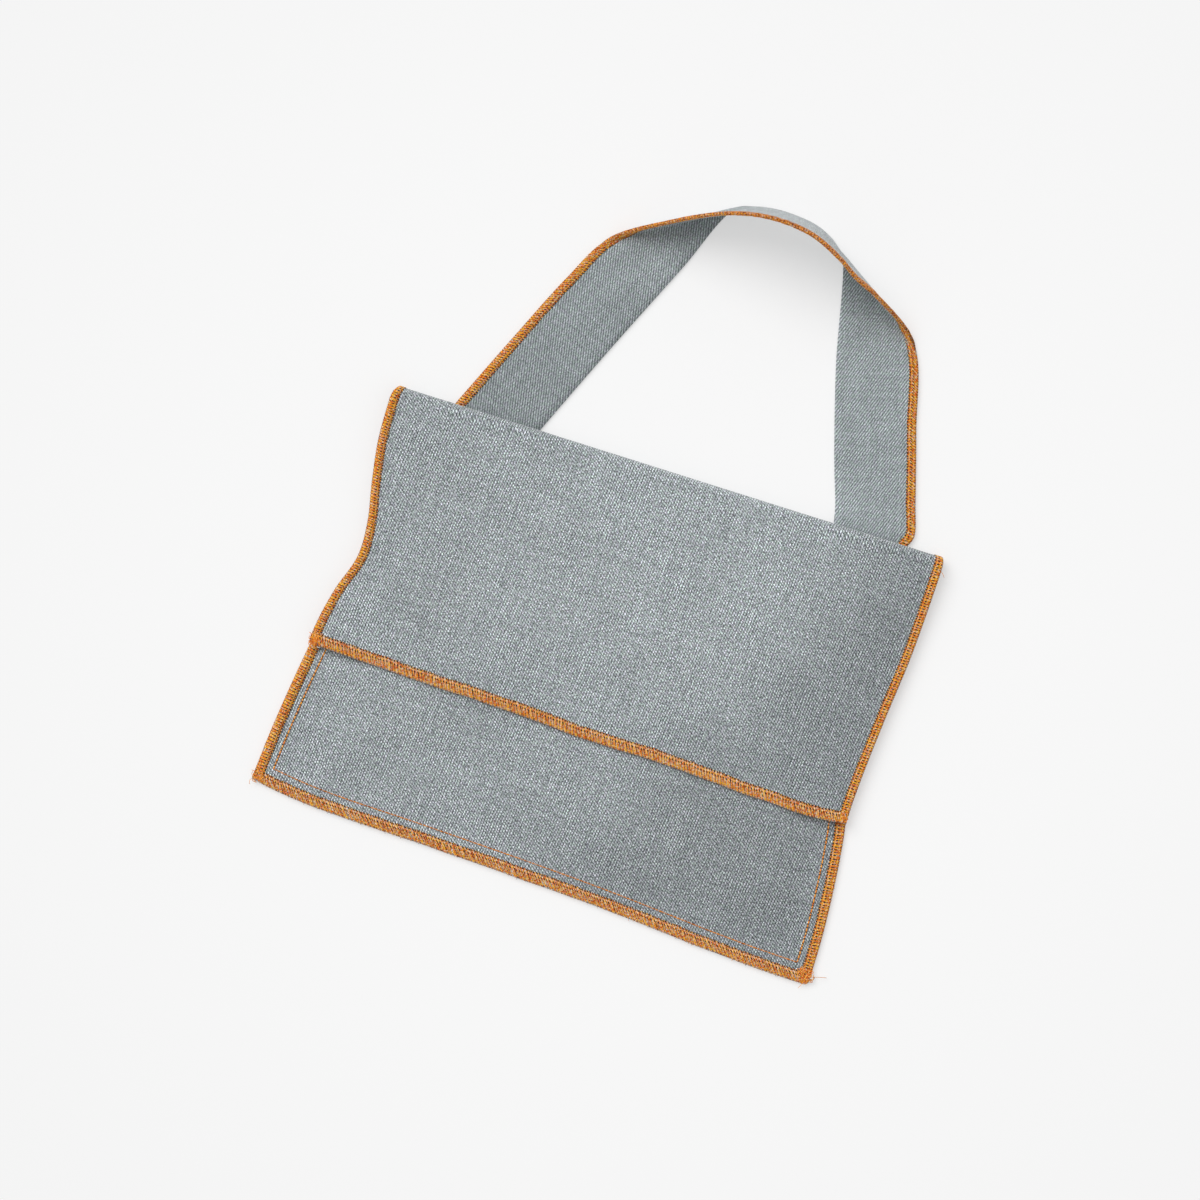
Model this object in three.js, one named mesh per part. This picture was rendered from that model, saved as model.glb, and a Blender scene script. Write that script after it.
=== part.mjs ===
// A flap shoulder bag of light denim, lying on its back: a pouch of two panels, a flap that
// folds over it from the back panel, and a shoulder strap sewn on behind the fold.
// Millimetres. +X runs to the right along the bag, +Y from the bottom seam towards the strap,
// +Z up out of the front. The origin lies on the table under the middle of the bag's outline.
import * as THREE from "three";

// Cloth, thread and clearances
const clothThickness = 0.9;
const threadThickness = 0.4;
const clearance = 0.3;

// Outline of the bag
const bottomWidth = 368.4;
const bagHeight = 270.6;
const foldSlope = 0.0134;
const foldHeight = 267.1;
const mouthDepth = 46;
const hemHeight = 95;
const cavityHeight = 6.1;

// Each side edge is drawn in from half the bottom width, up to a depth. The lists give shares of
// that depth at shares of the bag's height.
const leftDepth = 21;
const leftDrawIn = [
  [0, 0], [0.12, 0.09], [0.25, 0.24], [0.4, 0.47], [0.52, 0.72],
  [0.61, 1], [0.7, 0.95], [0.78, 0.73], [0.88, 0.5], [1, 0.4],
];
const rightDepth = 10.8;
const rightDrawIn = [
  [0, 0.04], [0.12, 0.14], [0.25, 0.44], [0.33, 0.71], [0.4, 1], [0.62, 0.76], [0.8, 0.5], [1, 0.4],
];
// The flap's side edges stand out from the pouch's: shares of the most, at shares of the bag's
// height below the fold
const flapOverhang = 2.6;
const leftOverhang = [[0, 0.23], [0.07, 0.38], [0.26, 0.62], [0.39, 0.54], [0.5, 1], [0.58, 1], [0.65, 0.23]];
const rightOverhang = [[0, 0.38], [0.22, 0.54], [0.41, 0.23], [0.54, 0.4], [0.65, 0.15]];
// The bottom edge and the hem run unevenly: shares of their waves, at places in half bottom widths
const bottomWave = 8.6;
const bottomLine = [
  [-1.02, 0.6], [-0.81, 0.09], [-0.4, -0.06], [0, -0.21], [0.24, -0.37], [0.73, -0.92], [0.99, -1],
];
const hemWave = 3.2;
const hemLine = [
  [-0.97, 0.5], [-0.6, 0.06], [-0.27, 0], [0.05, -0.5],
  [0.27, -0.34], [0.6, -0.88], [0.81, -1], [0.96, -0.13],
];

// Widths of the overlocked borders, and how far the straight seams lie from the edges
const sideEdgingWidth = 6.6;
const bottomEdgingWidth = 7.5;
const mouthEdgingWidth = 6;
const flapEdgingWidth = 5.8;
const hemEdgingWidth = 7.5;
const strapEdgingWidth = 6;
const sideSeamInset = 10.8;
const bottomSeamInset = 12;
const seamWidth = 0.6;
const seamStop = 2.7;

// How the cloth rises from its borders
const flatBorder = 13;
const frontRise = 36;
const borderRamp = 5;
const bumpMargin = 4;
const bumpShoulder = 1;
const liftMargin = 2;
const flapDroop = 2.4;
const flapDroopWidth = 45;
const flapDroopStart = 12;
const flapDroopFull = 60;
const stackRamp = 16;

// Strap
const strapWidth = 50;
const strapOverlap = 36;
const strapStitchInset = 6;
const strapRest = 0.1;
const hingeGap = 0.6;
const leftFoot = { outer: -138.7, inner: -83.8 };
const rightFoot = { outer: 155.5, inner: 107.6 };
// Stations from the left foot over the crown to the right foot, in strap widths. Each has a point
// of the overlocked edge, measured from the fold, and the way across to the folded edge.
const strapStations = [
  { edge: [-2.352, 0.97, 0], across: [1.17, 0.21, 0] },
  { edge: [-1.952, 1.88, 0], across: [1.32, 0.57, 0] },
  { edge: [-1.63, 2.47, 0.016], across: [1.38, 0.86, 0] },
  { edge: [-1, 2.86, 0.4], across: [1, 0.58, -0.38] },
  { edge: [-0.32, 3.15, 0.78], across: [0.56, 0.33, -0.71] },
  { edge: [0.206, 3.232, 1], across: [0.29, 0.25, -0.91] },
  { edge: [0.732, 3.196, 1], across: [0.05, 0.25, -0.91] },
  { edge: [1.188, 3.028, 0.86], across: [-0.18, 0.33, -0.81] },
  { edge: [1.43, 2.9, 0.74], across: [-0.34, 0.4, -0.7] },
  { edge: [1.82, 2.77, 0.46], across: [-0.67, 0.48, -0.44] },
  { edge: [2.41, 2.43, 0.016], across: [-1.2, 0.79, 0] },
  { edge: [2.77, 1.41, 0], across: [-1.2, 0.48, 0] },
  { edge: [3.032, 0.59, 0], across: [-1.12, 0.2, 0] },
  { edge: [3.152, 0.18, 0], across: [-1.04, 0.04, 0] },
];

// The middle of the pouch's bottom, and where the origin lies on the outline's own grid
const pouchCentre = -1.5;
const originX = -1.7;
const originY = 217.1;

// Sizes worked out from the ones above
const edgingLift = threadThickness + clearance;
const trim = edgingLift;
const frontUnderBorder = edgingLift + clothThickness + clearance;
const frontUnder = clothThickness + cavityHeight;
const flapUnder = frontUnder + clothThickness + 2 * clearance + threadThickness;
const foldTop = flapUnder + clothThickness;
const strapThickness = 2 * clothThickness;
const strapEdgingHeight = strapThickness + 2 * edgingLift;
const strapBump = strapEdgingHeight + strapRest + clearance;
const splitHeight = (strapBump + foldTop) / 2 - clearance;
const flapLength = foldHeight - foldTop / 2 - hemHeight;

const denim = { color: 0xa3aaad, roughness: 0.95, metalness: 0 };
const innerDenim = { color: 0x8f979d, roughness: 0.95, metalness: 0 };
const orangeThread = { color: 0xcf7a2a, roughness: 0.8, metalness: 0 };

const bag = new THREE.Group();
bag.position.set(-originX, -originY, 0);

function addPiece(name, geometry, look) {
  const piece = new THREE.Mesh(geometry, new THREE.MeshStandardMaterial(look));
  piece.name = name;
  bag.add(piece);
}

// A smooth line through a few points, times a size, read at a place in units of its own
function lineThrough(points, size, unit = 1) {
  const line = new THREE.CubicInterpolant(points.map((p) => p[0]), points.map((p) => p[1]), 1);
  return (at) => size * line.evaluate(at / unit)[0];
}

const bottomY = lineThrough(bottomLine, bottomWave, bottomWidth / 2);
const hemWaveAt = lineThrough(hemLine, hemWave, bottomWidth / 2);
const hemY = (x) => hemHeight + hemWaveAt(x);
const leftInset = lineThrough(leftDrawIn, leftDepth);
const rightInset = lineThrough(rightDrawIn, rightDepth);
const leftStandOut = lineThrough(leftOverhang, flapOverhang, bagHeight);
const rightStandOut = lineThrough(rightOverhang, flapOverhang, bagHeight);
const smooth = THREE.MathUtils.smoothstep;
const mix = THREE.MathUtils.lerp;

const foldY = (x) => foldHeight + foldSlope * x;
const pouchLeft = (share) => pouchCentre - bottomWidth / 2 + leftInset(share);
const pouchRight = (share) => pouchCentre + bottomWidth / 2 - rightInset(share);
// The place of a point at a share of the way up the bag, between the bottom edge and the fold
const upBag = (x, share) => mix(bottomY(x), foldY(x), share);
const shareAt = (x, y) => (y - bottomY(x)) / (foldY(x) - bottomY(x));

// How much the back panel is lifted over the sewn ends of the strap
function overStrapEnd(x, y, foot) {
  const low = Math.min(foot.outer, foot.inner) - bumpMargin;
  const high = Math.max(foot.outer, foot.inner) + bumpMargin;
  const beside = smooth(x, low - borderRamp, low) * (1 - smooth(x, high, high + borderRamp));
  const end = foldY(x) - strapOverlap - liftMargin;
  return strapBump * beside * smooth(y, end - borderRamp, end);
}

function backUnder(x, y) {
  const share = shareAt(x, y);
  const sideInset = Math.min(x - pouchLeft(share), pouchRight(share) - x);
  const inset = Math.min(sideInset, y - bottomY(x));
  const border = edgingLift * (1 - smooth(inset, flatBorder - borderRamp, flatBorder));
  return border + overStrapEnd(x, y, leftFoot) + overStrapEnd(x, y, rightFoot);
}

function frontUnderAt(x, y) {
  const share = shareAt(x, y);
  const inset = Math.min(x - pouchLeft(share), pouchRight(share) - x);
  const across = smooth(inset, flatBorder, flatBorder + frontRise);
  const along = smooth(y - bottomY(x), flatBorder, flatBorder + frontRise);
  return mix(frontUnderBorder, frontUnder, across * along);
}

// A closed solid of even thickness on both sides of a surface given at rows and columns
function clothSolid(place, columns, rows, thickness, normalAt) {
  const wide = columns.length;
  const points = rows.map((v) => columns.map((u) => place(u, v)));
  const corners = [];
  for (const side of [1, -1]) {
    for (let j = 0; j < rows.length; j++) {
      for (let i = 0; i < wide; i++) {
        const before = points[j][Math.max(i - 1, 0)];
        const after = points[j][Math.min(i + 1, wide - 1)];
        const below = points[Math.max(j - 1, 0)][i];
        const above = points[Math.min(j + 1, rows.length - 1)][i];
        const square = after.clone().sub(before).cross(above.clone().sub(below)).normalize();
        const normal = normalAt ? normalAt(columns[i], rows[j]) : square;
        corners.push(points[j][i].clone().addScaledVector(normal, (side * thickness) / 2));
      }
    }
  }
  const under = rows.length * wide;
  const faces = [];
  const quad = (a, b, c, d) => faces.push(a, b, c, a, c, d);
  for (let j = 0; j + 1 < rows.length; j++) {
    for (let i = 0; i + 1 < wide; i++) {
      const a = j * wide + i;
      quad(a, a + 1, a + wide + 1, a + wide);
      quad(under + a, under + a + wide, under + a + wide + 1, under + a + 1);
    }
    const left = j * wide;
    const right = left + wide - 1;
    quad(left, left + wide, under + left + wide, under + left);
    quad(right, under + right, under + right + wide, right + wide);
  }
  const last = under - wide;
  for (let i = 0; i + 1 < wide; i++) {
    quad(i, under + i, under + i + 1, i + 1);
    quad(last + i, last + i + 1, under + last + i + 1, under + last + i);
  }
  return closedGeometry(corners, faces);
}

function closedGeometry(corners, faces) {
  const geometry = new THREE.BufferGeometry().setFromPoints(corners);
  geometry.setIndex(faces);
  geometry.computeVertexNormals();
  return geometry;
}

// A closed solid swept through frames, from an outline given in each frame's own axes
function sweptSolid(frames, outlineAt, capFaces) {
  const corners = [];
  const faces = [];
  const count = outlineAt(frames[0]).length;
  for (const frame of frames) {
    for (const [inward, up] of outlineAt(frame)) {
      corners.push(frame.at.clone().addScaledVector(frame.inward, inward).addScaledVector(frame.up, up));
    }
  }
  for (let j = 0; j + 1 < frames.length; j++) {
    for (let i = 0; i < count; i++) {
      const a = j * count + i;
      const b = j * count + ((i + 1) % count);
      faces.push(a, b, b + count, a, b + count, a + count);
    }
  }
  const last = (frames.length - 1) * count;
  for (const [a, b, c, d] of capFaces) {
    faces.push(a, c, b, a, d, c);
    faces.push(last + a, last + b, last + c, last + a, last + c, last + d);
  }
  return closedGeometry(corners, faces);
}

// An overlocked edge: a channel of thread that wraps both faces and the rim of the cloth
const channelCaps = [[0, 1, 6, 7], [1, 2, 5, 6], [2, 3, 4, 5]];
function edging(frames, width) {
  const outline = ({ stack }) => {
    const inside = stack / 2 + clearance;
    const outside = inside + threadThickness;
    const rim = -clearance;
    const back = rim - threadThickness;
    const reach = width + back;
    return [
      [reach, outside], [back, outside], [back, -outside], [reach, -outside],
      [reach, -inside], [rim, -inside], [rim, inside], [reach, inside],
    ];
  };
  return sweptSolid(frames, outline, channelCaps);
}

// A straight seam: a low bar of thread that lies on the cloth
function seam(frames) {
  const half = seamWidth / 2;
  const outline = () => [
    [half, clearance + threadThickness], [-half, clearance + threadThickness],
    [-half, clearance], [half, clearance],
  ];
  return sweptSolid(frames, outline, [[0, 1, 2, 3]]);
}

// Frames along a path of points, whose inward side lies to the left of the way it runs
function framesAlong(points, stackAt, ups) {
  return points.map((point, i) => {
    const along = points[Math.min(i + 1, points.length - 1)].clone().sub(points[Math.max(i - 1, 0)]);
    const up = ups ? ups[i] : new THREE.Vector3(0, 0, 1);
    const inward = up.clone().cross(along).normalize();
    return { at: point, inward, up: along.clone().cross(inward).normalize(), stack: stackAt(i) };
  });
}

const evenly = (count, from, to) => Array.from({ length: count + 1 }, (_, i) => mix(from, to, i / count));

// Pouch panels and the fold
const mouthShare = 1 - mouthDepth / bagHeight;
const lowMiddle = 0.12;
const highMiddle = 0.76;
const middleRows = evenly(8, lowMiddle, highMiddle);
const strapLines = [leftFoot, rightFoot].flatMap(({ outer, inner }) => {
  const low = Math.min(outer, inner) - bumpMargin;
  const high = Math.max(outer, inner) + bumpMargin;
  const shoulder = bumpMargin - bumpShoulder;
  return [low - borderRamp, low + shoulder, high - shoulder, high + borderRamp];
});
const edgeInsets = [0, flatBorder - borderRamp, flatBorder];
// The columns of the panels are laid out at one height of the bag
const columnLevel = 0.85;
const leftMiddle = pouchLeft(columnLevel);
const rightMiddle = pouchRight(columnLevel);
const columnShare = (x) => (x - leftMiddle) / (rightMiddle - leftMiddle);
const rightColumns = (insets) => insets.map((inset) => rightMiddle - inset).reverse();
const leftColumns = (insets) => insets.map((inset) => leftMiddle + inset);
const shares = (...places) => places.flat().sort((a, b) => a - b).map(columnShare);

const insideTrim = (column) => mix(columnShare(leftMiddle + trim), columnShare(rightMiddle - trim), column);

// A point of a panel's middle surface at a column share and a height share
function pouchPlace(column, share, underAt) {
  const x = mix(pouchLeft(share), pouchRight(share), column);
  const y = upBag(x, share);
  return new THREE.Vector3(x, y, underAt(x, y) + clothThickness / 2);
}

// A point on the round of the fold, at an angle above the table
function foldPlace(x, underZ, angle) {
  const radius = (foldTop - underZ) / 2;
  const y = foldY(x) - radius + (radius - clothThickness / 2) * Math.cos(angle);
  const z = underZ + radius + (radius - clothThickness / 2) * Math.sin(angle);
  return new THREE.Vector3(x, y, z);
}

// The angle at which the round of the fold reaches a height
function foldAngle(underZ, height) {
  const radius = (foldTop - underZ) / 2;
  return Math.asin((height - underZ - radius) / (radius - clothThickness / 2));
}

const quarter = Math.PI / 2;

function backPanel() {
  const overlapShare = 1 - (strapOverlap + liftMargin) / bagHeight;
  const rampShare = overlapShare - borderRamp / bagHeight;
  const flatRows = [
    ...edgeInsets.map((inset) => (inset + trim) / bagHeight), ...middleRows,
    mouthShare, rampShare, overlapShare, (overlapShare + 1) / 2,
  ];
  const rows = [...flatRows.map((share) => ({ share })), ...evenly(5, 0, 1).map((round) => ({ round }))];
  const place = (column, { share, round }) => {
    const inColumn = insideTrim(column);
    if (round === undefined) return pouchPlace(inColumn, share, backUnder);
    const x = mix(pouchLeft(1), pouchRight(1), inColumn);
    const under = backUnder(x, foldY(x));
    return foldPlace(x, under, mix(-quarter, foldAngle(under, splitHeight - clearance / 2), round));
  };
  const between = [leftFoot.inner / 3, rightFoot.inner / 3];
  const columns = shares(leftColumns(edgeInsets), strapLines, between, rightColumns(edgeInsets));
  return clothSolid(place, columns, rows, clothThickness);
}

const riseInsets = [0, flatBorder, ...evenly(4, flatBorder + frontRise / 5, flatBorder + frontRise)];
const frontMiddle = evenly(2, -bottomWidth / 6, bottomWidth / 6);
const frontColumns = shares(leftColumns(riseInsets), frontMiddle, rightColumns(riseInsets));
const frontPlace = (column, share) => pouchPlace(insideTrim(column), share, frontUnderAt);

function frontPanel() {
  const rows = [...riseInsets.map((inset) => (inset + trim) / bagHeight), ...middleRows.slice(2), mouthShare];
  return clothSolid(frontPlace, frontColumns, rows, clothThickness);
}

// Flap
const flapLeft = (below) => pouchLeft(1 - below / bagHeight) - leftStandOut(below);
const flapRight = (below) => pouchRight(1 - below / bagHeight) + rightStandOut(below);

function flapUnderAt(x, y) {
  const below = foldY(x) - y;
  const inset = Math.min(x - flapLeft(below), flapRight(below) - x);
  const along = smooth(below, flapDroopStart, flapDroopFull);
  return flapUnder - flapDroop * (1 - smooth(inset, 0, flapDroopWidth)) * along;
}

// A point of the flap at a column share and a share of the way from the fold to the hem
function flapPlace(column, down) {
  const below = down * flapLength;
  const x = mix(flapLeft(below), flapRight(below), column);
  const radius = foldTop / 2;
  const y = mix(foldY(x) - radius, hemY(x), down);
  return new THREE.Vector3(x, y, flapUnderAt(x, y) + clothThickness / 2);
}

const flapMiddle = evenly(6, 0.126, 0.874);
const flapColumns = [0, 0.02, 0.045, 0.078, ...flapMiddle, 0.922, 0.955, 0.98, 1];

function flapPanel() {
  const rows = [...evenly(4, 0, 1).map((round) => ({ round })), ...flapRows.map((down) => ({ down }))];
  const place = (column, { round, down }) => {
    const inColumn = mix(1 - trim / bottomWidth, trim / bottomWidth, column);
    if (round === undefined) return flapPlace(inColumn, down * (1 - trim / flapLength));
    const x = mix(flapLeft(0), flapRight(0), inColumn);
    const under = backUnder(x, foldY(x));
    return foldPlace(x, under, mix(foldAngle(under, splitHeight + clearance / 2), quarter, round));
  };
  const fromRight = [...flapColumns, ...shares(strapLines)].map((column) => 1 - column);
  return clothSolid(place, fromRight.sort((a, b) => a - b), rows, clothThickness);
}

// Strap
const floorLevel = { edge: strapEdgingHeight / 2 + strapRest, fold: strapThickness / 2 + strapRest };

function strapStationsInPlace() {
  const fromFold = new THREE.Vector3(0, foldHeight, floorLevel.edge);
  const placed = strapStations.map(({ edge, across }) => ({
    edge: new THREE.Vector3(...edge).multiplyScalar(strapWidth).add(fromFold),
    across: new THREE.Vector3(...across).multiplyScalar(strapWidth),
  }));
  return [footStation(leftFoot), ...placed, footStation(rightFoot)];
}

// The end of the free strap, cut along the fold with room for its hinge
function footStation({ outer, inner }) {
  const cut = (x) => foldY(x) + hingeGap;
  const edge = new THREE.Vector3(outer, cut(outer), floorLevel.edge);
  return { edge, across: new THREE.Vector3(inner - outer, cut(inner) - cut(outer), 0) };
}

const stations = strapStationsInPlace();
const edgeCurve = new THREE.CatmullRomCurve3(stations.map(({ edge }) => edge), false, "centripetal");
const foldCurve = new THREE.CatmullRomCurve3(
  stations.map(({ edge, across }) => edge.clone().add(across)), false, "centripetal");

function strapEdge(along) {
  const point = edgeCurve.getPoint(along);
  point.z = Math.max(point.z, floorLevel.edge);
  return point;
}

function strapFold(along) {
  const point = foldCurve.getPoint(along);
  point.z = Math.max(point.z - floorLevel.edge + floorLevel.fold, floorLevel.fold);
  return point;
}

// The strap's cross-section at a share of its length. Its way in is slanted like the section,
// and stretched so that a distance from the edge comes out true across the strap.
function strapFrame(along) {
  const step = 0.002; // share of the strap's length, for its direction
  const edge = strapEdge(along);
  const back = strapEdge(Math.max(along - step, 0)).sub(strapEdge(Math.min(along + step, 1)));
  back.normalize();
  const way = strapFold(along).sub(edge).normalize();
  const inward = way.clone().divideScalar(way.clone().cross(back).length());
  const up = back.cross(way).normalize();
  return { at: edge.addScaledVector(inward, trim), inward, up, stack: strapThickness };
}

function strapPlace(across, along) {
  return strapFrame(along).at.lerp(strapFold(along), across);
}

// Steps along the strap: few on the flat legs, many where it twists
const legSteps = 2;
const twistSteps = 6;
const flatStations = 2;
const strapSteps = [0];
for (let station = 1; station < stations.length; station++) {
  const twists = station > flatStations && station < stations.length - 1 - flatStations;
  const steps = evenly(twists ? twistSteps : legSteps, station - 1, station).slice(1);
  strapSteps.push(...steps.map((at) => at / (stations.length - 1)));
}

function strapBand() {
  const upAt = (across, along) => strapFrame(along).up;
  return clothSolid(strapPlace, evenly(3, 0, 1), strapSteps, strapThickness, upAt);
}

// A sewn end of the strap behind the back panel, at a share across and down from the fold
function strapEndPlace({ outer, inner }, across, down) {
  const side = Math.sign(inner - outer);
  const low = mix(outer, outer + side * strapWidth, across);
  const high = mix(outer, inner, across);
  const x = mix(high, low, down) + side * trim * (1 - across);
  const y = mix(foldY(x) + hingeGap - clearance, foldY(x) - strapOverlap, down);
  return new THREE.Vector3(x, y, mix(floorLevel.edge, floorLevel.fold, across));
}

function strapEnd(foot) {
  const columns = foot.inner > foot.outer ? [0, 1] : [1, 0];
  return clothSolid((u, v) => strapEndPlace(foot, u, 1 - v), columns, [0, 0.5, 1], strapThickness);
}

function strapEndEdging(foot) {
  const downs = foot.inner > foot.outer ? [0, 1] : [1, 0];
  const path = downs.map((down) => strapEndPlace(foot, 0, down));
  return edging(framesAlong(path, () => strapThickness), strapEdgingWidth);
}

// The rectangle of stitches that holds a strap end to the back panel
function strapStitching({ outer, inner }) {
  const side = Math.sign(inner - outer);
  const left = Math.min(outer, outer + side * strapWidth) + strapStitchInset;
  const right = left + strapWidth - 2 * strapStitchInset;
  const low = foldHeight - strapOverlap + strapStitchInset;
  const high = foldHeight - strapStitchInset - foldTop / 2;
  const outline = (inset) => [
    new THREE.Vector2(left + inset, low + inset), new THREE.Vector2(right - inset, low + inset),
    new THREE.Vector2(right - inset, high - inset), new THREE.Vector2(left + inset, high - inset),
  ];
  const ring = new THREE.Shape(outline(0));
  ring.holes.push(new THREE.Path(outline(seamWidth)));
  const bar = new THREE.ExtrudeGeometry(ring, { depth: threadThickness, bevelEnabled: false });
  return bar.translate(0, 0, strapBump + clothThickness + clearance);
}

// Overlocked edges of the pouch
const bothPanels = 2 * clothThickness + clearance;
const singleShare = mouthShare + stackRamp / bagHeight;
const sideRows = [
  (bottomEdgingWidth + 2 * clearance) / bagHeight, ...middleRows, ...evenly(2, mouthShare, singleShare),
  1 - foldTop / bagHeight,
];

function sideEdging(side) {
  const edge = side < 0 ? pouchLeft : pouchRight;
  const rows = side < 0 ? [...sideRows].reverse() : sideRows;
  const stacks = rows.map((share) => mix(bothPanels, clothThickness, smooth(share, mouthShare, singleShare)));
  const path = rows.map((share, i) => {
    const x = edge(share) - side * trim;
    return new THREE.Vector3(x, upBag(x, share), edgingLift + stacks[i] / 2);
  });
  return edging(framesAlong(path, (i) => stacks[i]), sideEdgingWidth);
}

const bottomSteps = evenly(20, 0, 1);

function bottomEdging() {
  const path = bottomSteps.map((column) => {
    const x = mix(pouchLeft(0), pouchRight(0), column);
    return new THREE.Vector3(x, bottomY(x) + trim, edgingLift + bothPanels / 2);
  });
  return edging(framesAlong(path, () => bothPanels), bottomEdgingWidth);
}

function mouthEdging() {
  const clearOfBorder = frontColumns.slice(2, -2).reverse();
  const path = clearOfBorder.map((column) => frontPlace(column, mouthShare));
  return edging(framesAlong(path, () => clothThickness), mouthEdgingWidth);
}

// Straight seams on the pouch front
const seamBase = frontUnderBorder + clothThickness;

function sideSeam(side) {
  const edge = side < 0 ? pouchLeft : pouchRight;
  const first = (bottomSeamInset + seamWidth + clearance) / bagHeight;
  const rows = [first, ...middleRows, mouthShare - seamStop / bagHeight];
  const path = rows.map((share) => {
    const x = edge(share) - side * sideSeamInset;
    return new THREE.Vector3(x, upBag(x, share), seamBase);
  });
  return seam(framesAlong(path, () => 0));
}

function bottomSeam() {
  const share = bottomSeamInset / bagHeight;
  const path = bottomSteps.map((column) => {
    const x = mix(pouchLeft(share) + sideSeamInset, pouchRight(share) - sideSeamInset, column);
    return new THREE.Vector3(x, bottomY(x) + bottomSeamInset, seamBase);
  });
  return seam(framesAlong(path, () => 0));
}

// Overlocked edges of the flap
const flapRows = [0.06, 0.14, 0.24, 0.34, 0.5, 0.65, 0.8, 0.9, 1];

function flapSideEdging(side) {
  const stop = 1 - (hemEdgingWidth + 4 * clearance) / flapLength;
  const rows = [0, ...flapRows.slice(0, -1), stop];
  const path = rows.map((down) => {
    const edge = flapPlace(side < 0 ? 0 : 1, down);
    return edge.setX(edge.x - side * trim);
  });
  return edging(framesAlong(side < 0 ? path : path.reverse(), () => clothThickness), flapEdgingWidth);
}

function hemEdging() {
  const path = flapColumns.map((column) => flapPlace(column, 1 - trim / flapLength));
  return edging(framesAlong(path, () => clothThickness), hemEdgingWidth);
}

function strapEdging() {
  const frames = [...strapSteps].reverse().map(strapFrame);
  return edging(frames, strapEdgingWidth);
}

addPiece("back_panel", backPanel(), innerDenim);
addPiece("front_panel", frontPanel(), denim);
addPiece("flap_panel", flapPanel(), denim);
addPiece("strap_band", strapBand(), denim);
addPiece("strap_edging", strapEdging(), orangeThread);
for (const [sideName, side, foot] of [["left", -1, leftFoot], ["right", 1, rightFoot]]) {
  addPiece(`strap_end_${sideName}`, strapEnd(foot), denim);
  addPiece(`strap_end_edging_${sideName}`, strapEndEdging(foot), orangeThread);
  addPiece(`strap_stitching_${sideName}`, strapStitching(foot), orangeThread);
  addPiece(`side_edging_${sideName}`, sideEdging(side), orangeThread);
  addPiece(`side_seam_${sideName}`, sideSeam(side), orangeThread);
  addPiece(`flap_edging_${sideName}`, flapSideEdging(side), orangeThread);
}
addPiece("bottom_edging", bottomEdging(), orangeThread);
addPiece("bottom_seam", bottomSeam(), orangeThread);
addPiece("mouth_edging", mouthEdging(), orangeThread);
addPiece("hem_edging", hemEdging(), orangeThread);

export default bag;
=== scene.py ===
"""The looks of a flap shoulder bag of pale denim, sewn with orange thread, lying on its back.

Metres. Outlines are worked out on the bag's own grid, whose X starts at the middle of the bag
and whose Y starts at its bottom, and are moved into the model's frame at the end.
"""
import math
import bmesh
import bpy
import numpy as np
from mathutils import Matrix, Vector


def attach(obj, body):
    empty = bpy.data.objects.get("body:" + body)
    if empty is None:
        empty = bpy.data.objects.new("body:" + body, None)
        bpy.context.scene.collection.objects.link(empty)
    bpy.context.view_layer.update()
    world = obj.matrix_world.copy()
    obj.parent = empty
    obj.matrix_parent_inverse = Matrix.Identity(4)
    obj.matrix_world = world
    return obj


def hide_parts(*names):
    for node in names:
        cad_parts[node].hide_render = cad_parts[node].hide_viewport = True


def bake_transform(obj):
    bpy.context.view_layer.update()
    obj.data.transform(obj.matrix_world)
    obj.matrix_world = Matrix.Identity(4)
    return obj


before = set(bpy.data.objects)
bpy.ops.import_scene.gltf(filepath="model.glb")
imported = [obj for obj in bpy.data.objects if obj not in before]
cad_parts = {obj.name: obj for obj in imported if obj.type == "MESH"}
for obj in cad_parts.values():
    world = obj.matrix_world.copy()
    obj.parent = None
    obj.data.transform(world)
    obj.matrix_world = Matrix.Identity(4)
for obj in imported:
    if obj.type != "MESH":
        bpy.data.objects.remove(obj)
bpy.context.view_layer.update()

chance = np.random.default_rng(18)

# Cloth, thread and clearances
cloth_thickness = 0.0009
thread_thickness = 0.0004
clearance = 0.0003

# Outline of the bag
bottom_width = 0.3684
bag_height = 0.2706
fold_slope = 0.0134
fold_height = 0.2671
mouth_depth = 0.046
hem_height = 0.095
cavity_height = 0.0061

# Depths to which the sides are drawn in and the flap stands out, with shares along the height
left_depth = 0.021
left_draw_in = [
    (0, 0), (0.12, 0.09), (0.25, 0.24), (0.4, 0.47), (0.52, 0.72),
    (0.61, 1), (0.7, 0.95), (0.78, 0.73), (0.88, 0.5), (1, 0.4),
]
right_depth = 0.0108
right_draw_in = [
    (0, 0.04), (0.12, 0.14), (0.25, 0.44), (0.33, 0.71), (0.4, 1), (0.62, 0.76), (0.8, 0.5), (1, 0.4),
]
flap_overhang = 0.0026
left_overhang = [(0, 0.23), (0.07, 0.38), (0.26, 0.62), (0.39, 0.54), (0.5, 1), (0.58, 1), (0.65, 0.23)]
right_overhang = [(0, 0.38), (0.22, 0.54), (0.41, 0.23), (0.54, 0.4), (0.65, 0.15)]
# Waves of the bottom edge and the hem, at places in half bottom widths
bottom_wave = 0.0086
bottom_line = [
    (-1.02, 0.6), (-0.81, 0.09), (-0.4, -0.06), (0, -0.21), (0.24, -0.37), (0.73, -0.92), (0.99, -1),
]
hem_wave = 0.0032
hem_line = [
    (-0.97, 0.5), (-0.6, 0.06), (-0.27, 0), (0.05, -0.5),
    (0.27, -0.34), (0.6, -0.88), (0.81, -1), (0.96, -0.13),
]
# How far the corners of the fold and the bottom's right corner are rounded
left_corner = 0.003
right_corner = 0.0012
corner_depth = 0.01
pouch_corner_depth = 4 * corner_depth
corner_roundness = 2.2
bottom_corner = 0.0035

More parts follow.
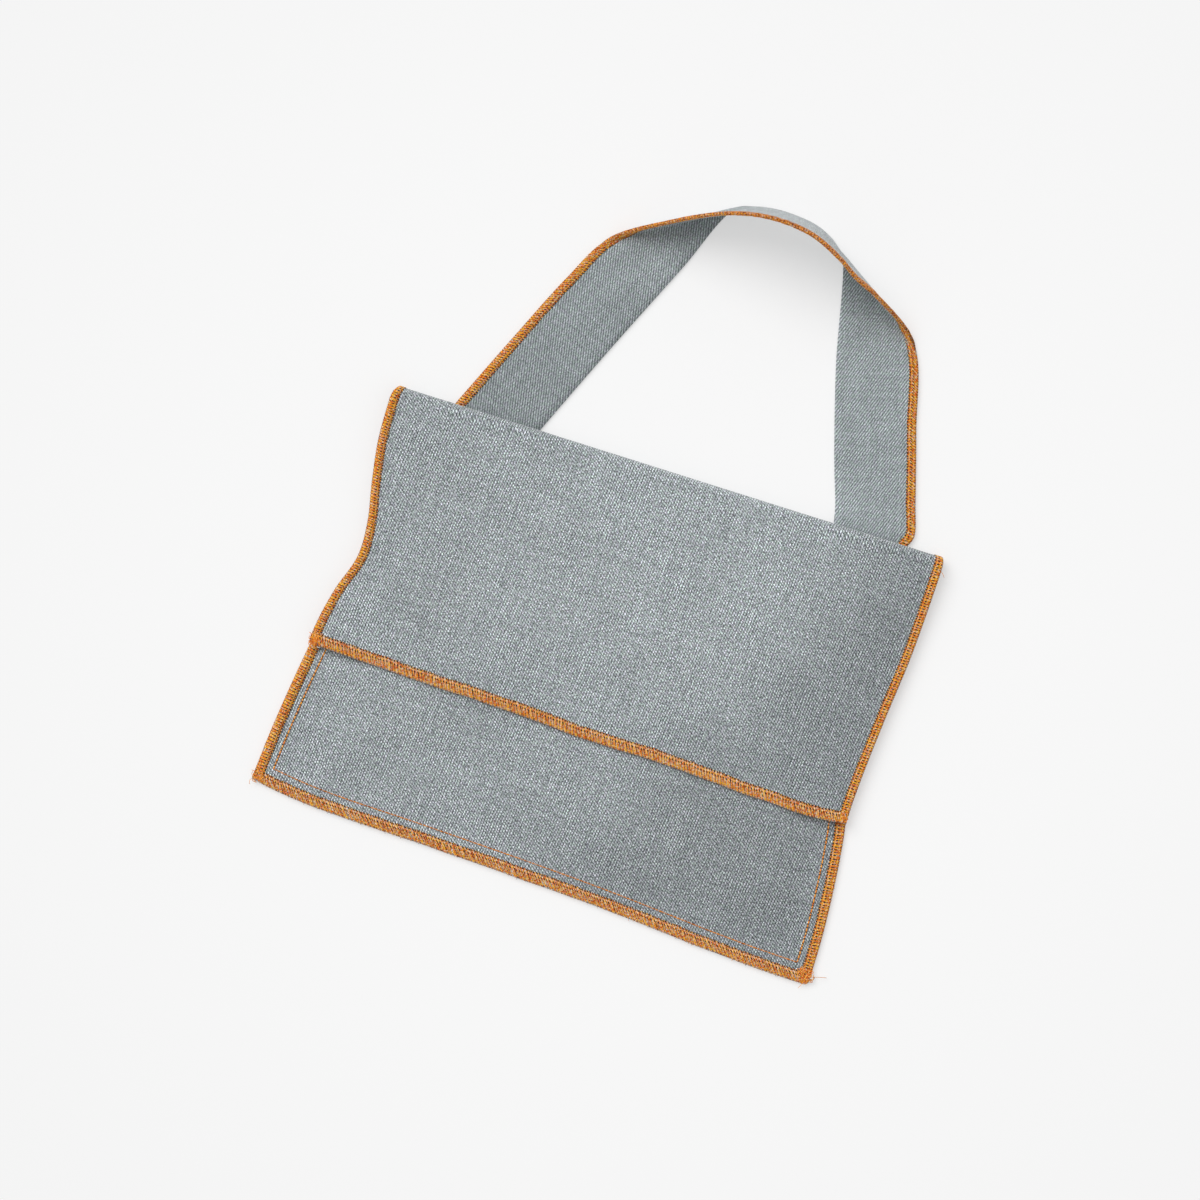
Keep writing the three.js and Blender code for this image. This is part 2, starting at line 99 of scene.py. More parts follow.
# Widths of the overlocked borders, stitch lengths, and how far the seams lie from the edges
side_edging_width = 0.0066
bottom_edging_width = 0.0075
mouth_edging_width = 0.006
flap_edging_width = 0.0058
hem_edging_width = 0.0075
strap_edging_width = 0.006
overlock_pitch = 0.00185
fine_pitch = 0.0017
seam_pitch = 0.0024
row_spacing = 0.0021
side_seam_inset = 0.0108
bottom_seam_inset = 0.012
# A side border stops short of the corner by this share of the width of the border that crosses it
corner_stop = 0.4
mouth_stop = 0.002
bottom_stop = 0.0006
# Above the mouth the side borders get thinner. Their middle line sinks over a share of the bag's
# height, and their stitches flatten over a height.
thinning_share = 0.06
thinning_run = 0.016

# Threads of the stitches
looper_width = 0.00064
open_looper_width = 0.00058
looper_thickness = 0.0003
needle_thread_width = 0.0006
chain_width = 0.00045
hole_shade_width = 0.001
patch_thickness = 0.00008
bed_thickness = 0.00012
seam_thread_thickness = 0.0004
box_thread_width = 0.0013
side_thread_width = 0.001
bottom_thread_width = 0.0009
# How uneven the stitches are: in width and height, and in their shift at the inner side and the rim,
# in pitches
width_unrest = 0.015
height_unrest = 0.05
inner_shift = 0.14
rim_shift = 0.2
# Loose threads
thin_end = 0.00032
thick_end = 0.0006
tangle_width = 0.0005
fray_width = 0.00022

# Weave: one warp yarn, one weft yarn, and the faint ribs up the cloth
warp_pitch = 0.00046
weft_pitch = 0.00066
rib_pitch = 0.00158

# How the cloth rises from its borders
flat_border = 0.013
front_rise = 0.036
border_ramp = 0.005
bump_margin = 0.004
lift_margin = 0.002
flap_droop = 0.0024
flap_droop_width = 0.045
droop_start = 0.012
droop_full = 0.06

# Ripples of the cloth: their height, how far each cloth's are shifted down or up as a share of it,
# and how far they are kept from the hem and the flap's sides
panel_ripple = 0.0011
front_shift = -0.45
flap_shift = 0.5
strap_shift = 0.35
front_ripple_rise = 0.0002
hem_ripple_share = 0.15
hem_calm = (0.004, 0.04)
side_calm = (0.004, 0.03)
strap_swell = 0.0012
bottom_waver = 0.0003
across_waver = 0.0004

# Strap
strap_width = 0.05
strap_overlap = 0.036
strap_stitch_inset = 0.006
strap_rest = 0.0001
hinge_gap = 0.0006
left_foot = (-0.1387, -0.0838)
right_foot = (0.1555, 0.1076)
# Stations from the left foot over the crown to the right foot, in strap widths: a point of the
# overlocked edge, measured from the fold, and the way across to the folded edge
strap_stations = [
    ((-2.352, 0.97, 0), (1.17, 0.21, 0)),
    ((-1.952, 1.88, 0), (1.32, 0.57, 0)),
    ((-1.63, 2.47, 0.016), (1.38, 0.86, 0)),
    ((-1, 2.86, 0.4), (1, 0.58, -0.38)),
    ((-0.32, 3.15, 0.78), (0.56, 0.33, -0.71)),
    ((0.206, 3.232, 1), (0.29, 0.25, -0.91)),
    ((0.732, 3.196, 1), (0.05, 0.25, -0.91)),
    ((1.188, 3.028, 0.86), (-0.18, 0.33, -0.81)),
    ((1.43, 2.9, 0.74), (-0.34, 0.4, -0.7)),
    ((1.82, 2.77, 0.46), (-0.67, 0.48, -0.44)),
    ((2.41, 2.43, 0.016), (-1.2, 0.79, 0)),
    ((2.77, 1.41, 0), (-1.2, 0.48, 0)),
    ((3.032, 0.59, 0), (-1.12, 0.2, 0)),
    ((3.152, 0.18, 0), (-1.04, 0.04, 0)),
]

pouch_centre = -0.0015
origin = np.array([0.0017, -0.2171, 0])

# Sizes worked out from the ones above
edging_lift = thread_thickness + clearance
front_under_border = edging_lift + cloth_thickness + clearance
front_under_middle = cloth_thickness + cavity_height
flap_under_middle = front_under_middle + cloth_thickness + 2 * clearance + thread_thickness
fold_top = flap_under_middle + cloth_thickness
strap_thickness = 2 * cloth_thickness
strap_bump = strap_thickness + 2 * edging_lift + strap_rest + clearance
edge_level = strap_thickness / 2 + edging_lift + strap_rest
fold_level = strap_thickness / 2 + strap_rest
both_panels = 2 * cloth_thickness + clearance
mouth_share = 1 - mouth_depth / bag_height
# The cloth's own rim lies inside the thread that wraps it, and the cloth is a little thinner than
# the solid's, so that the threads rest on it
rim = 0.00045
cloth_trim = 0.00004


def mix(a, b, share):
    return a + (b - a) * share


def smooth(at, start, end):
    share = np.clip((at - start) / (end - start), 0, 1)
    return share * share * (3 - 2 * share)


def hermite(start, end, leave, arrive, share):
    """A cubic from start to end, with the slopes at its ends for a run of one"""
    left = 1 - share
    return (
        (1 + 2 * share) * left**2 * start + share * left**2 * leave
        + share**2 * (3 - 2 * share) * end - share**2 * left * arrive
    )


def line_through(points, size, run_size=1.0):
    """A smooth line through a few points, whose places are in run sizes and whose heights in sizes"""
    places, heights = np.array(points, float).T * [[run_size], [size]]
    steep = np.diff(heights) / np.diff(places)
    slopes = np.concatenate([steep[:1], (steep[1:] + steep[:-1]) / 2, steep[-1:]])

    def height_at(at):
        at = np.clip(at, places[0], places[-1])
        i = np.clip(np.searchsorted(places, at) - 1, 0, len(places) - 2)
        run = places[i + 1] - places[i]
        share = (at - places[i]) / run
        return hermite(heights[i], heights[i + 1], run * slopes[i], run * slopes[i + 1], share)

    return height_at


def curve_through(points):
    """A smooth curve through points of space, even where they lie unevenly"""
    ends = [2 * points[0] - points[1], *points, 2 * points[-1] - points[-2]]
    knots = np.array(ends)
    gaps = np.linalg.norm(np.diff(knots, axis=0), axis=1) ** 0.5

    def point_at(share):
        at = np.clip(share, 0, 1) * (len(points) - 1)
        i = np.minimum(at.astype(int), len(points) - 2)
        a, b, c, d = (knots[i + k] for k in range(4))
        first, middle, last = (gaps[i + k][:, None] for k in range(3))
        leave = middle * ((b - a) / first - (c - a) / (first + middle)) + (c - b)
        arrive = middle * ((d - c) / last - (d - b) / (middle + last)) + (c - b)
        return hermite(b, c, leave, arrive, (at - i)[:, None])

    return point_at


def ripples(count, shortest, longest):
    """Gentle uneven waves over the plane, between -1 and 1"""
    angles = chance.uniform(0, math.pi, count)
    lengths = chance.uniform(shortest, longest, count)
    phases = chance.uniform(0, 2 * math.pi, count)

    def wave_at(x, y):
        total = 0
        for angle, length, phase in zip(angles, lengths, phases):
            along = x * math.cos(angle) + y * math.sin(angle)
            total = total + np.sin(2 * math.pi * along / length + phase)
        return total / count

    return wave_at


# Outlines
bottom_y = line_through(bottom_line, bottom_wave, bottom_width / 2)
hem_offset = line_through(hem_line, hem_wave, bottom_width / 2)
left_inset = line_through(left_draw_in, left_depth)
right_inset = line_through(right_draw_in, right_depth)
left_stand_out = line_through(left_overhang, flap_overhang, bag_height)
right_stand_out = line_through(right_overhang, flap_overhang, bag_height)
flap_ripple = ripples(7, 0.05, 0.14)
front_ripple = ripples(7, 0.04, 0.12)
strap_ripple = ripples(5, 0.04, 0.1)
border_ripple = ripples(5, 0.012, 0.05)


def fold_y(x):
    return fold_height + fold_slope * x


def hem_y(x):
    return hem_height + hem_offset(x)


def pouch_left(share):
    return pouch_centre - bottom_width / 2 + left_inset(share)


def pouch_right(share):
    return pouch_centre + bottom_width / 2 - right_inset(share)


def corner(below, size, depth=corner_depth):
    """How far a fold corner's rounding takes the edge in, at a distance below the fold"""
    return size * (1 - np.clip(below / depth, 0, 1)) ** corner_roundness


def side_to_side(share, column):
    """X across the pouch, from its left rim at column 0 to its right rim at column 1"""
    below = (1 - share) * bag_height
    low = pouch_left(share) + corner(below, left_corner, pouch_corner_depth) + rim
    high = pouch_right(share) - corner(below, right_corner, pouch_corner_depth) - rim
    return mix(low, high, column)


def bottom_rim(x):
    """The bottom edge, with its right corner rounded up into the side"""
    share = np.clip((x - pouch_right(0)) / bottom_corner + 1, 0, 1)
    return bottom_y(x) + bottom_corner * (1 - np.sqrt(1 - share**2))


def share_at(x, y):
    return (y - bottom_y(x)) / (fold_y(x) - bottom_y(x))


def off_hem(x, y):
    """A small share at the flap's hem, where flap and front lie close together, and 1 further away"""
    return hem_ripple_share + (1 - hem_ripple_share) * smooth(np.abs(y - hem_y(x)), *hem_calm)


def side_inset(x, y):
    share = share_at(x, y)
    return np.minimum(x - pouch_left(share), pouch_right(share) - x)


def over_strap_end(x, y, foot):
    """How much the back panel is lifted over a sewn end of the strap"""
    low = min(foot) - bump_margin
    high = max(foot) + bump_margin
    beside = smooth(x, low - border_ramp, low) * (1 - smooth(x, high, high + border_ramp))
    end = fold_y(x) - strap_overlap - lift_margin
    return strap_bump * beside * smooth(y, end - border_ramp, end)


def back_under(x, y):
    inset = np.minimum(side_inset(x, y), y - bottom_y(x))
    border = edging_lift * (1 - smooth(inset, flat_border - border_ramp, flat_border))
    return border + over_strap_end(x, y, left_foot) + over_strap_end(x, y, right_foot)


def front_under(x, y):
    """The underside of the front panel, with its creases hanging down from the CAD's height"""
    across = smooth(side_inset(x, y), flat_border, flat_border + front_rise)
    along = smooth(y - bottom_y(x), flat_border, flat_border + front_rise)
    ripple = panel_ripple * (front_ripple(x, y) + front_shift) * across * along * off_hem(x, y)
    level = mix(front_under_border, front_under_middle, across * along)
    return level + np.minimum(ripple, front_ripple_rise)


def flap_left(below):
    return pouch_left(1 - below / bag_height) - left_stand_out(below)


def flap_right(below):
    return pouch_right(1 - below / bag_height) + right_stand_out(below)


def flap_across(below, from_top, column):
    """X across the flap, from its left rim at column 0 to its right rim at column 1"""
    low = flap_left(below) + corner(from_top, left_corner) + rim
    high = flap_right(below) - corner(from_top, right_corner) - rim
    return mix(low, high, column)


def flap_under(x, y):
    """The underside of the flap, with its ripples standing up from the CAD's height"""
    below = fold_y(x) - y
    inset = np.minimum(x - flap_left(below), flap_right(below) - x)
    along = smooth(below, droop_start, droop_full)
    droop = flap_droop * (1 - smooth(inset, 0, flap_droop_width)) * along
    ripple = panel_ripple * (flap_ripple(x, y) + flap_shift) * smooth(inset, *side_calm) * along
    return flap_under_middle - droop + np.maximum(ripple * off_hem(x, y), 0)


def fold_point(x, under, angle):
    """A point on the round of the fold, at an angle above the table"""
    radius = (fold_top - under) / 2
    reach = radius - cloth_thickness / 2
    y = fold_y(x) - radius + reach * np.cos(angle)
    return np.stack([x, y, under + radius + reach * np.sin(angle)], -1)


# The main cloth runs from the flap's hem over the fold and down the back to the bottom edge
flap_rows = 64
fold_rows = 14
back_rows = 92
main_rows = flap_rows + fold_rows + back_rows
front_rows = 84
panel_columns = 120
fold_run = math.pi / 2 * fold_top
# The part of the way round the fold over which the flap's overhang runs out
overhang_fade = (0.3, 1)


def flap_point(column, up):
    """A point of the flap, from the hem at up 0 to the fold at up 1"""
    flap_length = fold_height - fold_top / 2 - hem_height
    below = (1 - up) * flap_length
    x = flap_across(below, below + fold_top / 2, column)
    y = mix(hem_y(x) + rim, fold_y(x) - fold_top / 2, up)
    return np.stack([x, y, flap_under(x, y) + cloth_thickness / 2], -1)


def round_point(column, share):
    """A point on the fold, from the flap at share 0 to the back at share 1"""
    zero = np.zeros_like(column)
    angle = mix(math.pi / 2, -math.pi / 2, share)
    from_top = (1 - np.cos(np.maximum(angle, 0))) * fold_top / 2
    flap_x = flap_across(zero, from_top, column)
    x = mix(flap_x, side_to_side(1 + zero, column), smooth(share, *overhang_fade))
    return fold_point(x, back_under(x, fold_y(x) + zero), angle)


def back_point(column, down):
    """A point of the back panel, from the fold at down 0 to the bottom edge at down 1"""
    x = side_to_side(1 - down, column)
    start = fold_y(x) - (fold_top - back_under(x, fold_y(x))) / 2
    y = mix(start, bottom_rim(x) + rim, down)
    return np.stack([x, y, back_under(x, y) + cloth_thickness / 2], -1)


def main_point(column, row):
    """A point of the main cloth at a column share and a row share, counted from the hem"""
    at = row * main_rows
    flap = flap_point(column, np.clip(at / flap_rows, 0, 1))
    bend = round_point(column, np.clip((at - flap_rows) / fold_rows, 0, 1))
    back = back_point(column, np.clip((at - flap_rows - fold_rows) / back_rows, 0, 1))
    on_flap = (at < flap_rows - 0.5)[:, None]
    on_back = (at > flap_rows + fold_rows + 0.5)[:, None]
    return np.where(on_flap, flap, np.where(on_back, back, bend))


def main_flat(column, row, points):
    """Where each point lies on the flat cloth, measured up from the hem"""
    at = row * main_rows
    round_share = np.clip((at - flap_rows) / fold_rows, 0, 1)
    level = fold_y(points[:, 0]) - fold_top / 2
    straight = np.where(at > flap_rows + fold_rows, 2 * level - points[:, 1], points[:, 1])
    length = np.where((round_share > 0) & (round_share < 1), level, straight)
    return np.stack([points[:, 0], length + fold_run * round_share], -1)


def front_point(column, row):
    share = row * mouth_share
    x = side_to_side(share, column)
    y = mix(bottom_rim(x) + rim, mix(bottom_y(x), fold_y(x), mouth_share) - rim, row)
    return np.stack([x, y, front_under(x, y) + cloth_thickness / 2], -1)


def plain_flat(column, row, points):
    return points[:, :2]


# Strap
def foot_station(foot):
    """The edge point and the way across, where the strap leaves the fold"""
    outer, inner = foot
    cut = np.array([fold_y(outer), fold_y(inner)]) + hinge_gap
    return np.array([outer, cut[0], edge_level]), np.array([inner - outer, cut[1] - cut[0], 0])


from_fold = np.array([0, fold_height, edge_level])
placed = [(from_fold + strap_width * np.array(edge), strap_width * np.array(across))
          for edge, across in strap_stations]
stations = [foot_station(left_foot), *placed, foot_station(right_foot)]
edge_curve = curve_through([edge for edge, across in stations])
fold_curve = curve_through([edge + across for edge, across in stations])


def unit(vectors):
    return vectors / np.linalg.norm(vectors, axis=-1, keepdims=True)


def strap_lines(along):
    """The strap's overlocked edge and its folded edge at shares of the free length"""
    edge = edge_curve(along)
    edge[:, 2] = np.maximum(edge[:, 2], edge_level)
    inner = fold_curve(along)
    inner[:, 2] = np.maximum(inner[:, 2] - edge_level + fold_level, fold_level)
    return edge, inner


def strap_end_lines(foot, down):
    """The same two lines on a sewn end, at shares of the way down behind the back panel"""
    outer, inner = foot
    side = math.copysign(1, inner - outer)
    edge_x = np.full_like(down, outer)
    fold_x = mix(inner, outer + side * strap_width, down)

    def line(x, z):
        y = mix(fold_y(x) + hinge_gap, fold_y(x) - strap_overlap, down)
        return np.stack([x, y, np.full_like(down, z)], -1)

    return line(edge_x, edge_level), line(fold_x, fold_level)


end_rows = 12
free_rows = 320


def whole_strap():
    """Edge line, fold line and shares of the free length, from one sewn end to the other"""
    end_shares = np.linspace(1, 0, end_rows + 1)[:-1]
    along = np.linspace(0, 1, free_rows + 1)
    left = strap_end_lines(left_foot, end_shares)
    free = strap_lines(along)
    right = strap_end_lines(right_foot, end_shares[::-1])
    edge = np.concatenate([left[0], free[0], right[0]])
    inner = np.concatenate([left[1], free[1], right[1]])
    ahead = np.gradient(edge, axis=0)
    way = unit(inner - edge)
    up = unit(np.cross(way, unit(ahead)))
    return edge, inner, way, up, unit(ahead)


strap_edge, strap_inner, strap_way, strap_up, strap_ahead = whole_strap()
strap_middle = (strap_edge + strap_inner) / 2
strap_run = np.concatenate([[0], np.cumsum(np.linalg.norm(np.diff(strap_middle, axis=0), axis=1))])
strap_lean = (strap_way * unit(np.gradient(strap_middle, axis=0))).sum(axis=1)
strap_length = strap_run[-1]
strap_rows = len(strap_run) - 1
strap_columns = 26
# Half the distance of the two plies, and the share of the columns that turn round the folded edge
ply_offset = 0.00047
fold_turn = 0.04
# Where the two legs end that lie on the table, along the strap, and how far they pass into its rise
leg_rise = 0.002
leg_passage = 0.03
risen = np.nonzero(strap_edge[:, 2] > edge_level + leg_rise)[0]
leg_tops = strap_run[[risen[0], risen[-1]]]


def strap_point(column, row):
    """A point of the folded strap: up the top ply, round the folded edge, back on the lower ply"""
    i = np.round(row * strap_rows).astype(int)
    edge, inner, way, up = strap_edge[i], strap_inner[i], strap_way[i], strap_up[i]
    across = np.linalg.norm(inner - edge, axis=1) - rim - ply_offset
    top = np.clip(column / (0.5 - fold_turn), 0, 1)
    low = np.clip((1 - column) / (0.5 - fold_turn), 0, 1)
    angle = np.clip((column - 0.5 + fold_turn) / (2 * fold_turn), 0, 1) * math.pi
    reach = np.where(column < 0.5, top, low) * across + ply_offset * np.sin(angle)
    height = ply_offset * np.cos(angle)
    # The free strap's cloth lies in soft waves, which fade out towards both edges
    free = smooth(edge[:, 1], fold_height, fold_height + strap_width)
    swell = np.sin(math.pi * np.where(column < 0.5, top, low)) ** 2
    rise = strap_swell * free * swell * np.maximum(strap_ripple(strap_run[i], reach) + strap_shift, 0)
    return edge + way * (rim + reach)[:, None] + up * (height + rise)[:, None]


def run_flat(column, i):
    """Flat places measured along the middle of the strap, for where it rises and turns"""
    reach = (2 * np.minimum(column, 1 - column) - 0.5) * np.linalg.norm(strap_inner - strap_edge, axis=1)[i]
    across = reach * np.sqrt(1 - strap_lean[i] ** 2)
    folded = np.where(column < 0.5, across, strap_width - across)
    return np.stack([folded, strap_run[i] + reach * strap_lean[i]], -1)


def leg_flat(column, i, points, start, end, joint):
    """Flat places on a leg that lies on the table, where they are the places seen from above"""
    ahead = unit((strap_middle[end] - strap_middle[start])[:2])
    aside = np.array([ahead[1], -ahead[0]])
    across = points[:, :2] @ aside
    across = np.where(column < 0.5, across, 2 * strap_inner[i, :2] @ aside - across)
    middle = strap_middle[joint, :2]
    known = run_flat(np.array([0.25]), np.array([joint]))[0]
    return np.stack([across - middle @ aside, points[:, :2] @ ahead - middle @ ahead], -1) + known


def strap_flat(column, row, points):
    """Flat places on the strap's cloth, whose grain runs along the strap"""
    i = np.round(row * strap_rows).astype(int)
    left_top, right_top = np.searchsorted(strap_run, leg_tops)
    left = leg_flat(column, i, points, end_rows, left_top, left_top)
    right = leg_flat(column, i, points, right_top, strap_rows - end_rows, right_top)
    on_left = 1 - smooth(strap_run[i], leg_tops[0], leg_tops[0] + leg_passage)
    on_right = smooth(strap_run[i], leg_tops[1] - leg_passage, leg_tops[1])
    flat = mix(run_flat(column, i), left, on_left[:, None])
    return mix(flat, right, on_right[:, None])


class Edge:
    """An edge that stitches follow: its points, the way in from it, and the way up"""

    def __init__(self, points, ups, inwards=None):
        run = np.linalg.norm(np.diff(points, axis=0), axis=1)
        self.at = np.concatenate([[0], np.cumsum(run)])
        self.length = self.at[-1]
        self.points = points
        ahead = unit(np.gradient(points, axis=0))
        self.inwards = unit(np.cross(ups, ahead)) if inwards is None else inwards
        self.ups = unit(np.cross(ahead, self.inwards))

    def read(self, values, along):
        return np.stack([np.interp(along, self.at, values[:, k]) for k in range(3)], -1)

    def place(self, along, inward, up):
        place = self.read(self.points, along)
        place += self.read(self.inwards, along) * inward[:, None]
        return place + self.read(self.ups, along) * up[:, None]


def level_ups(points):
    return np.tile([0.0, 0.0, 1.0], (len(points), 1))


def flap_border(column):
    """The flap's side border: from the back round the fold and down the flap to its hem"""
    stop = corner_stop * hem_edging_width / (fold_height - hem_height)
    bend = np.linspace(1, 0, 25)
    down = np.linspace(1, stop, 90)[1:]
    rounding = round_point(np.full_like(bend, column), bend)
    straight = flap_point(np.full_like(down, column), down)
    angle = mix(math.pi / 2, -math.pi / 2, bend)
    round_ups = np.stack([np.zeros_like(bend), np.cos(angle), np.sin(angle)], -1)
    points = np.concatenate([rounding, straight])
    ups = np.concatenate([round_ups, level_ups(straight)])
    # The border narrows where the fold's corner is rounded, and its inner side stays straight
    from_top = np.maximum(fold_y(points[:, 0]) - points[:, 1], 0)
    size = left_corner if column < 0.5 else right_corner
    width = 1 - 0.5 * corner(from_top, size) / flap_edging_width
    inwards = np.stack([width if column < 0.5 else -width, 0 * width, 0 * width], -1)
    if column > 0.5:
        points, ups, inwards = points[::-1], ups[::-1], inwards[::-1]
    return Edge(points, ups, inwards)


def side_border(side):
    """The pouch's side border, from the fold down on the left and back up on the right"""
    share = np.linspace(corner_stop * bottom_edging_width / bag_height, 1 - fold_top / 2 / bag_height, 120)
    x = side_to_side(share, np.full_like(share, 0 if side < 0 else 1))
    y = mix(bottom_y(x), fold_y(x), share)
    stack = mix(both_panels, cloth_thickness, smooth(share, mouth_share, mouth_share + thinning_share))
    points = np.stack([x, y, edging_lift + stack / 2], -1)
    return Edge(points if side > 0 else points[::-1], level_ups(points))


def bottom_border():
    x = np.linspace(pouch_left(0) + bottom_stop, pouch_right(0) - bottom_stop, 220)
    y = bottom_rim(x) + rim + bottom_waver * border_ripple(x, 0)
    points = np.stack([x, y, np.full_like(x, edging_lift + both_panels / 2)], -1)
    return Edge(points, level_ups(points))


def across_border(point_at, row, forwards=True):
    """A border along the hem or the mouth"""
    column = np.linspace(0, 1, 220)
    points = point_at(column if forwards else column[::-1], np.full_like(column, row))
    points[:, 1] += across_waver * border_ripple(points[:, 0], 0)
    return Edge(points, level_ups(points))


def strap_border():
    """The strap's overlocked edge, from the right sewn end to the left one"""
    edge = (strap_edge + strap_way * rim)[::-1]
    slant = np.linalg.norm(np.cross(strap_way, strap_ahead), axis=1, keepdims=True)
    return Edge(edge, strap_up[::-1], (strap_way / slant)[::-1])


def seam_path(points):
    """A straight seam on the face of the front panel"""
    points[:, 2] = front_under(points[:, 0], points[:, 1]) + cloth_thickness
    return Edge(points, level_ups(points))


def side_seam_path(side):
    share = np.linspace(bottom_seam_inset / bag_height, mouth_share - mouth_stop / bag_height, 100)
    x = (pouch_left(share) + side_seam_inset) if side < 0 else (pouch_right(share) - side_seam_inset)
    return seam_path(np.stack([x, mix(bottom_y(x), fold_y(x), share), x], -1))


def bottom_seam_path():
    share = bottom_seam_inset / bag_height
    x = np.linspace(pouch_left(share) + side_seam_inset, pouch_right(share) - side_seam_inset, 160)
    return seam_path(np.stack([x, bottom_y(x) + bottom_seam_inset, x], -1))


def box_paths(foot):
    """The four sides of the stitched box that holds a strap end to the back panel"""
    outer, inner = foot
    low_x, high_x = sorted((outer, outer + math.copysign(strap_width, inner - outer)))
    low_x, high_x = low_x + strap_stitch_inset, high_x - strap_stitch_inset
    low_y = fold_height - strap_overlap + strap_stitch_inset
    high_y = fold_height - strap_stitch_inset - fold_top / 2
    corners = [(low_x, low_y), (high_x, low_y), (high_x, high_y), (low_x, high_y), (low_x, low_y)]
    paths = []
    for start, end in zip(corners, corners[1:]):
        spots = np.linspace(start, end, 12)
        z = back_under(spots[:, 0], spots[:, 1]) + cloth_thickness
        points = np.concatenate([spots, z[:, None]], axis=1)
        paths.append(Edge(points, level_ups(points)))
    return paths


# Meshes
def read_places(mesh):
    flat = np.empty(len(mesh.vertices) * 3)
    mesh.vertices.foreach_get("co", flat)
    return flat.reshape(-1, 3)


def set_places(mesh, places):
    mesh.vertices.foreach_set("co", (places + origin).ravel())
    mesh.update()


def mesh_from(name, bm):
    mesh = bpy.data.meshes.new(name)
    bm.to_mesh(mesh)
    bm.free()
    return mesh


def add_object(name, mesh, materials):
    for material in materials:
        mesh.materials.append(material)
    mesh.shade_smooth()
    piece = bpy.data.objects.new(name, mesh)
    bpy.context.scene.collection.objects.link(piece)
    return piece


def apply_modifiers(piece):
    """Keeps the piece's shape with its modifiers applied"""
    graph = bpy.context.evaluated_depsgraph_get()
    piece.data = bpy.data.meshes.new_from_object(piece.evaluated_get(graph))
    piece.modifiers.clear()


def cloth_sheet(name, point_at, flat_at, columns, rows, materials):
    """A sheet of cloth from a grid, with its flat places as texture coordinates in metres"""
    bm = bmesh.new()
    bmesh.ops.create_grid(bm, x_segments=columns, y_segments=rows, size=0.5)
    mesh = mesh_from(name, bm)
    shares = np.clip(read_places(mesh)[:, :2] + 0.5, 0, 1)
    points = point_at(shares[:, 0], shares[:, 1])
    flat = flat_at(shares[:, 0], shares[:, 1], points)
    vertices = np.empty(len(mesh.loops), dtype=np.int32)
    mesh.loops.foreach_get("vertex_index", vertices)
    layer = mesh.uv_layers.new(name="cloth")
    layer.data.foreach_set("uv", flat[vertices].ravel())
    set_places(mesh, points)
    sheet = add_object(name, mesh, materials)
    area = sum(face.area for face in mesh.polygons)
    thick = sheet.modifiers.new("thickness", "SOLIDIFY")
    thick.thickness = cloth_thickness - cloth_trim
    thick.offset = 0
    thick.material_offset = 1
    apply_modifiers(sheet)
    return sheet, area


# The three corners of a thread's section, in half widths and half heights
thread_section = [(1, -0.6), (0, 1), (-1, -0.6)]
# Places in the lists of materials: of a border's bed and its patches of painted shade at the needle holes,
# of a straight seam's hole patches, and of the loose ends
bed_place = 1
hole_shade_place = 2
seam_hole_place = 1
bright_end, matted_end, dark_end, pale_end = range(4)


def strand(bm, path, widths, height, aside, material=0):
    """A three-sided thread through a path, drawn out ring by ring. Its width lies along aside."""
    path = [Vector(point) for point in path]
    widths = widths if isinstance(widths, list) else [widths] * len(path)
    ring = bmesh.ops.create_circle(bm, cap_ends=True, segments=3, radius=1)["verts"]
    cap = ring[0].link_faces[0]
    places = [vert.co.copy() for vert in ring]
    faces = {cap}
    for k, (centre, width) in enumerate(zip(path, widths)):
        ahead = (path[min(k + 1, len(path) - 1)] - path[max(k - 1, 0)]).normalized()
        side = (Vector(aside) - ahead * ahead.dot(Vector(aside))).normalized()
        up = ahead.cross(side)
        if k:
            drawn = bmesh.ops.extrude_face_region(bm, geom=[cap, *cap.edges])["geom"]
            cap = next(item for item in drawn if isinstance(item, bmesh.types.BMFace))
        following = [centre + side * (a * width / 2) + up * (b * height / 2) for a, b in thread_section]
        for vert in cap.verts:
            nearest = min(range(3), key=lambda n: (vert.co - places[n]).length)
            vert.co = following[nearest]
            faces.update(vert.link_faces)
        places = following
    faces = [face for face in faces if face.is_valid]
    for face in faces:
        face.material_index = material
    bmesh.ops.recalc_face_normals(bm, faces=faces)


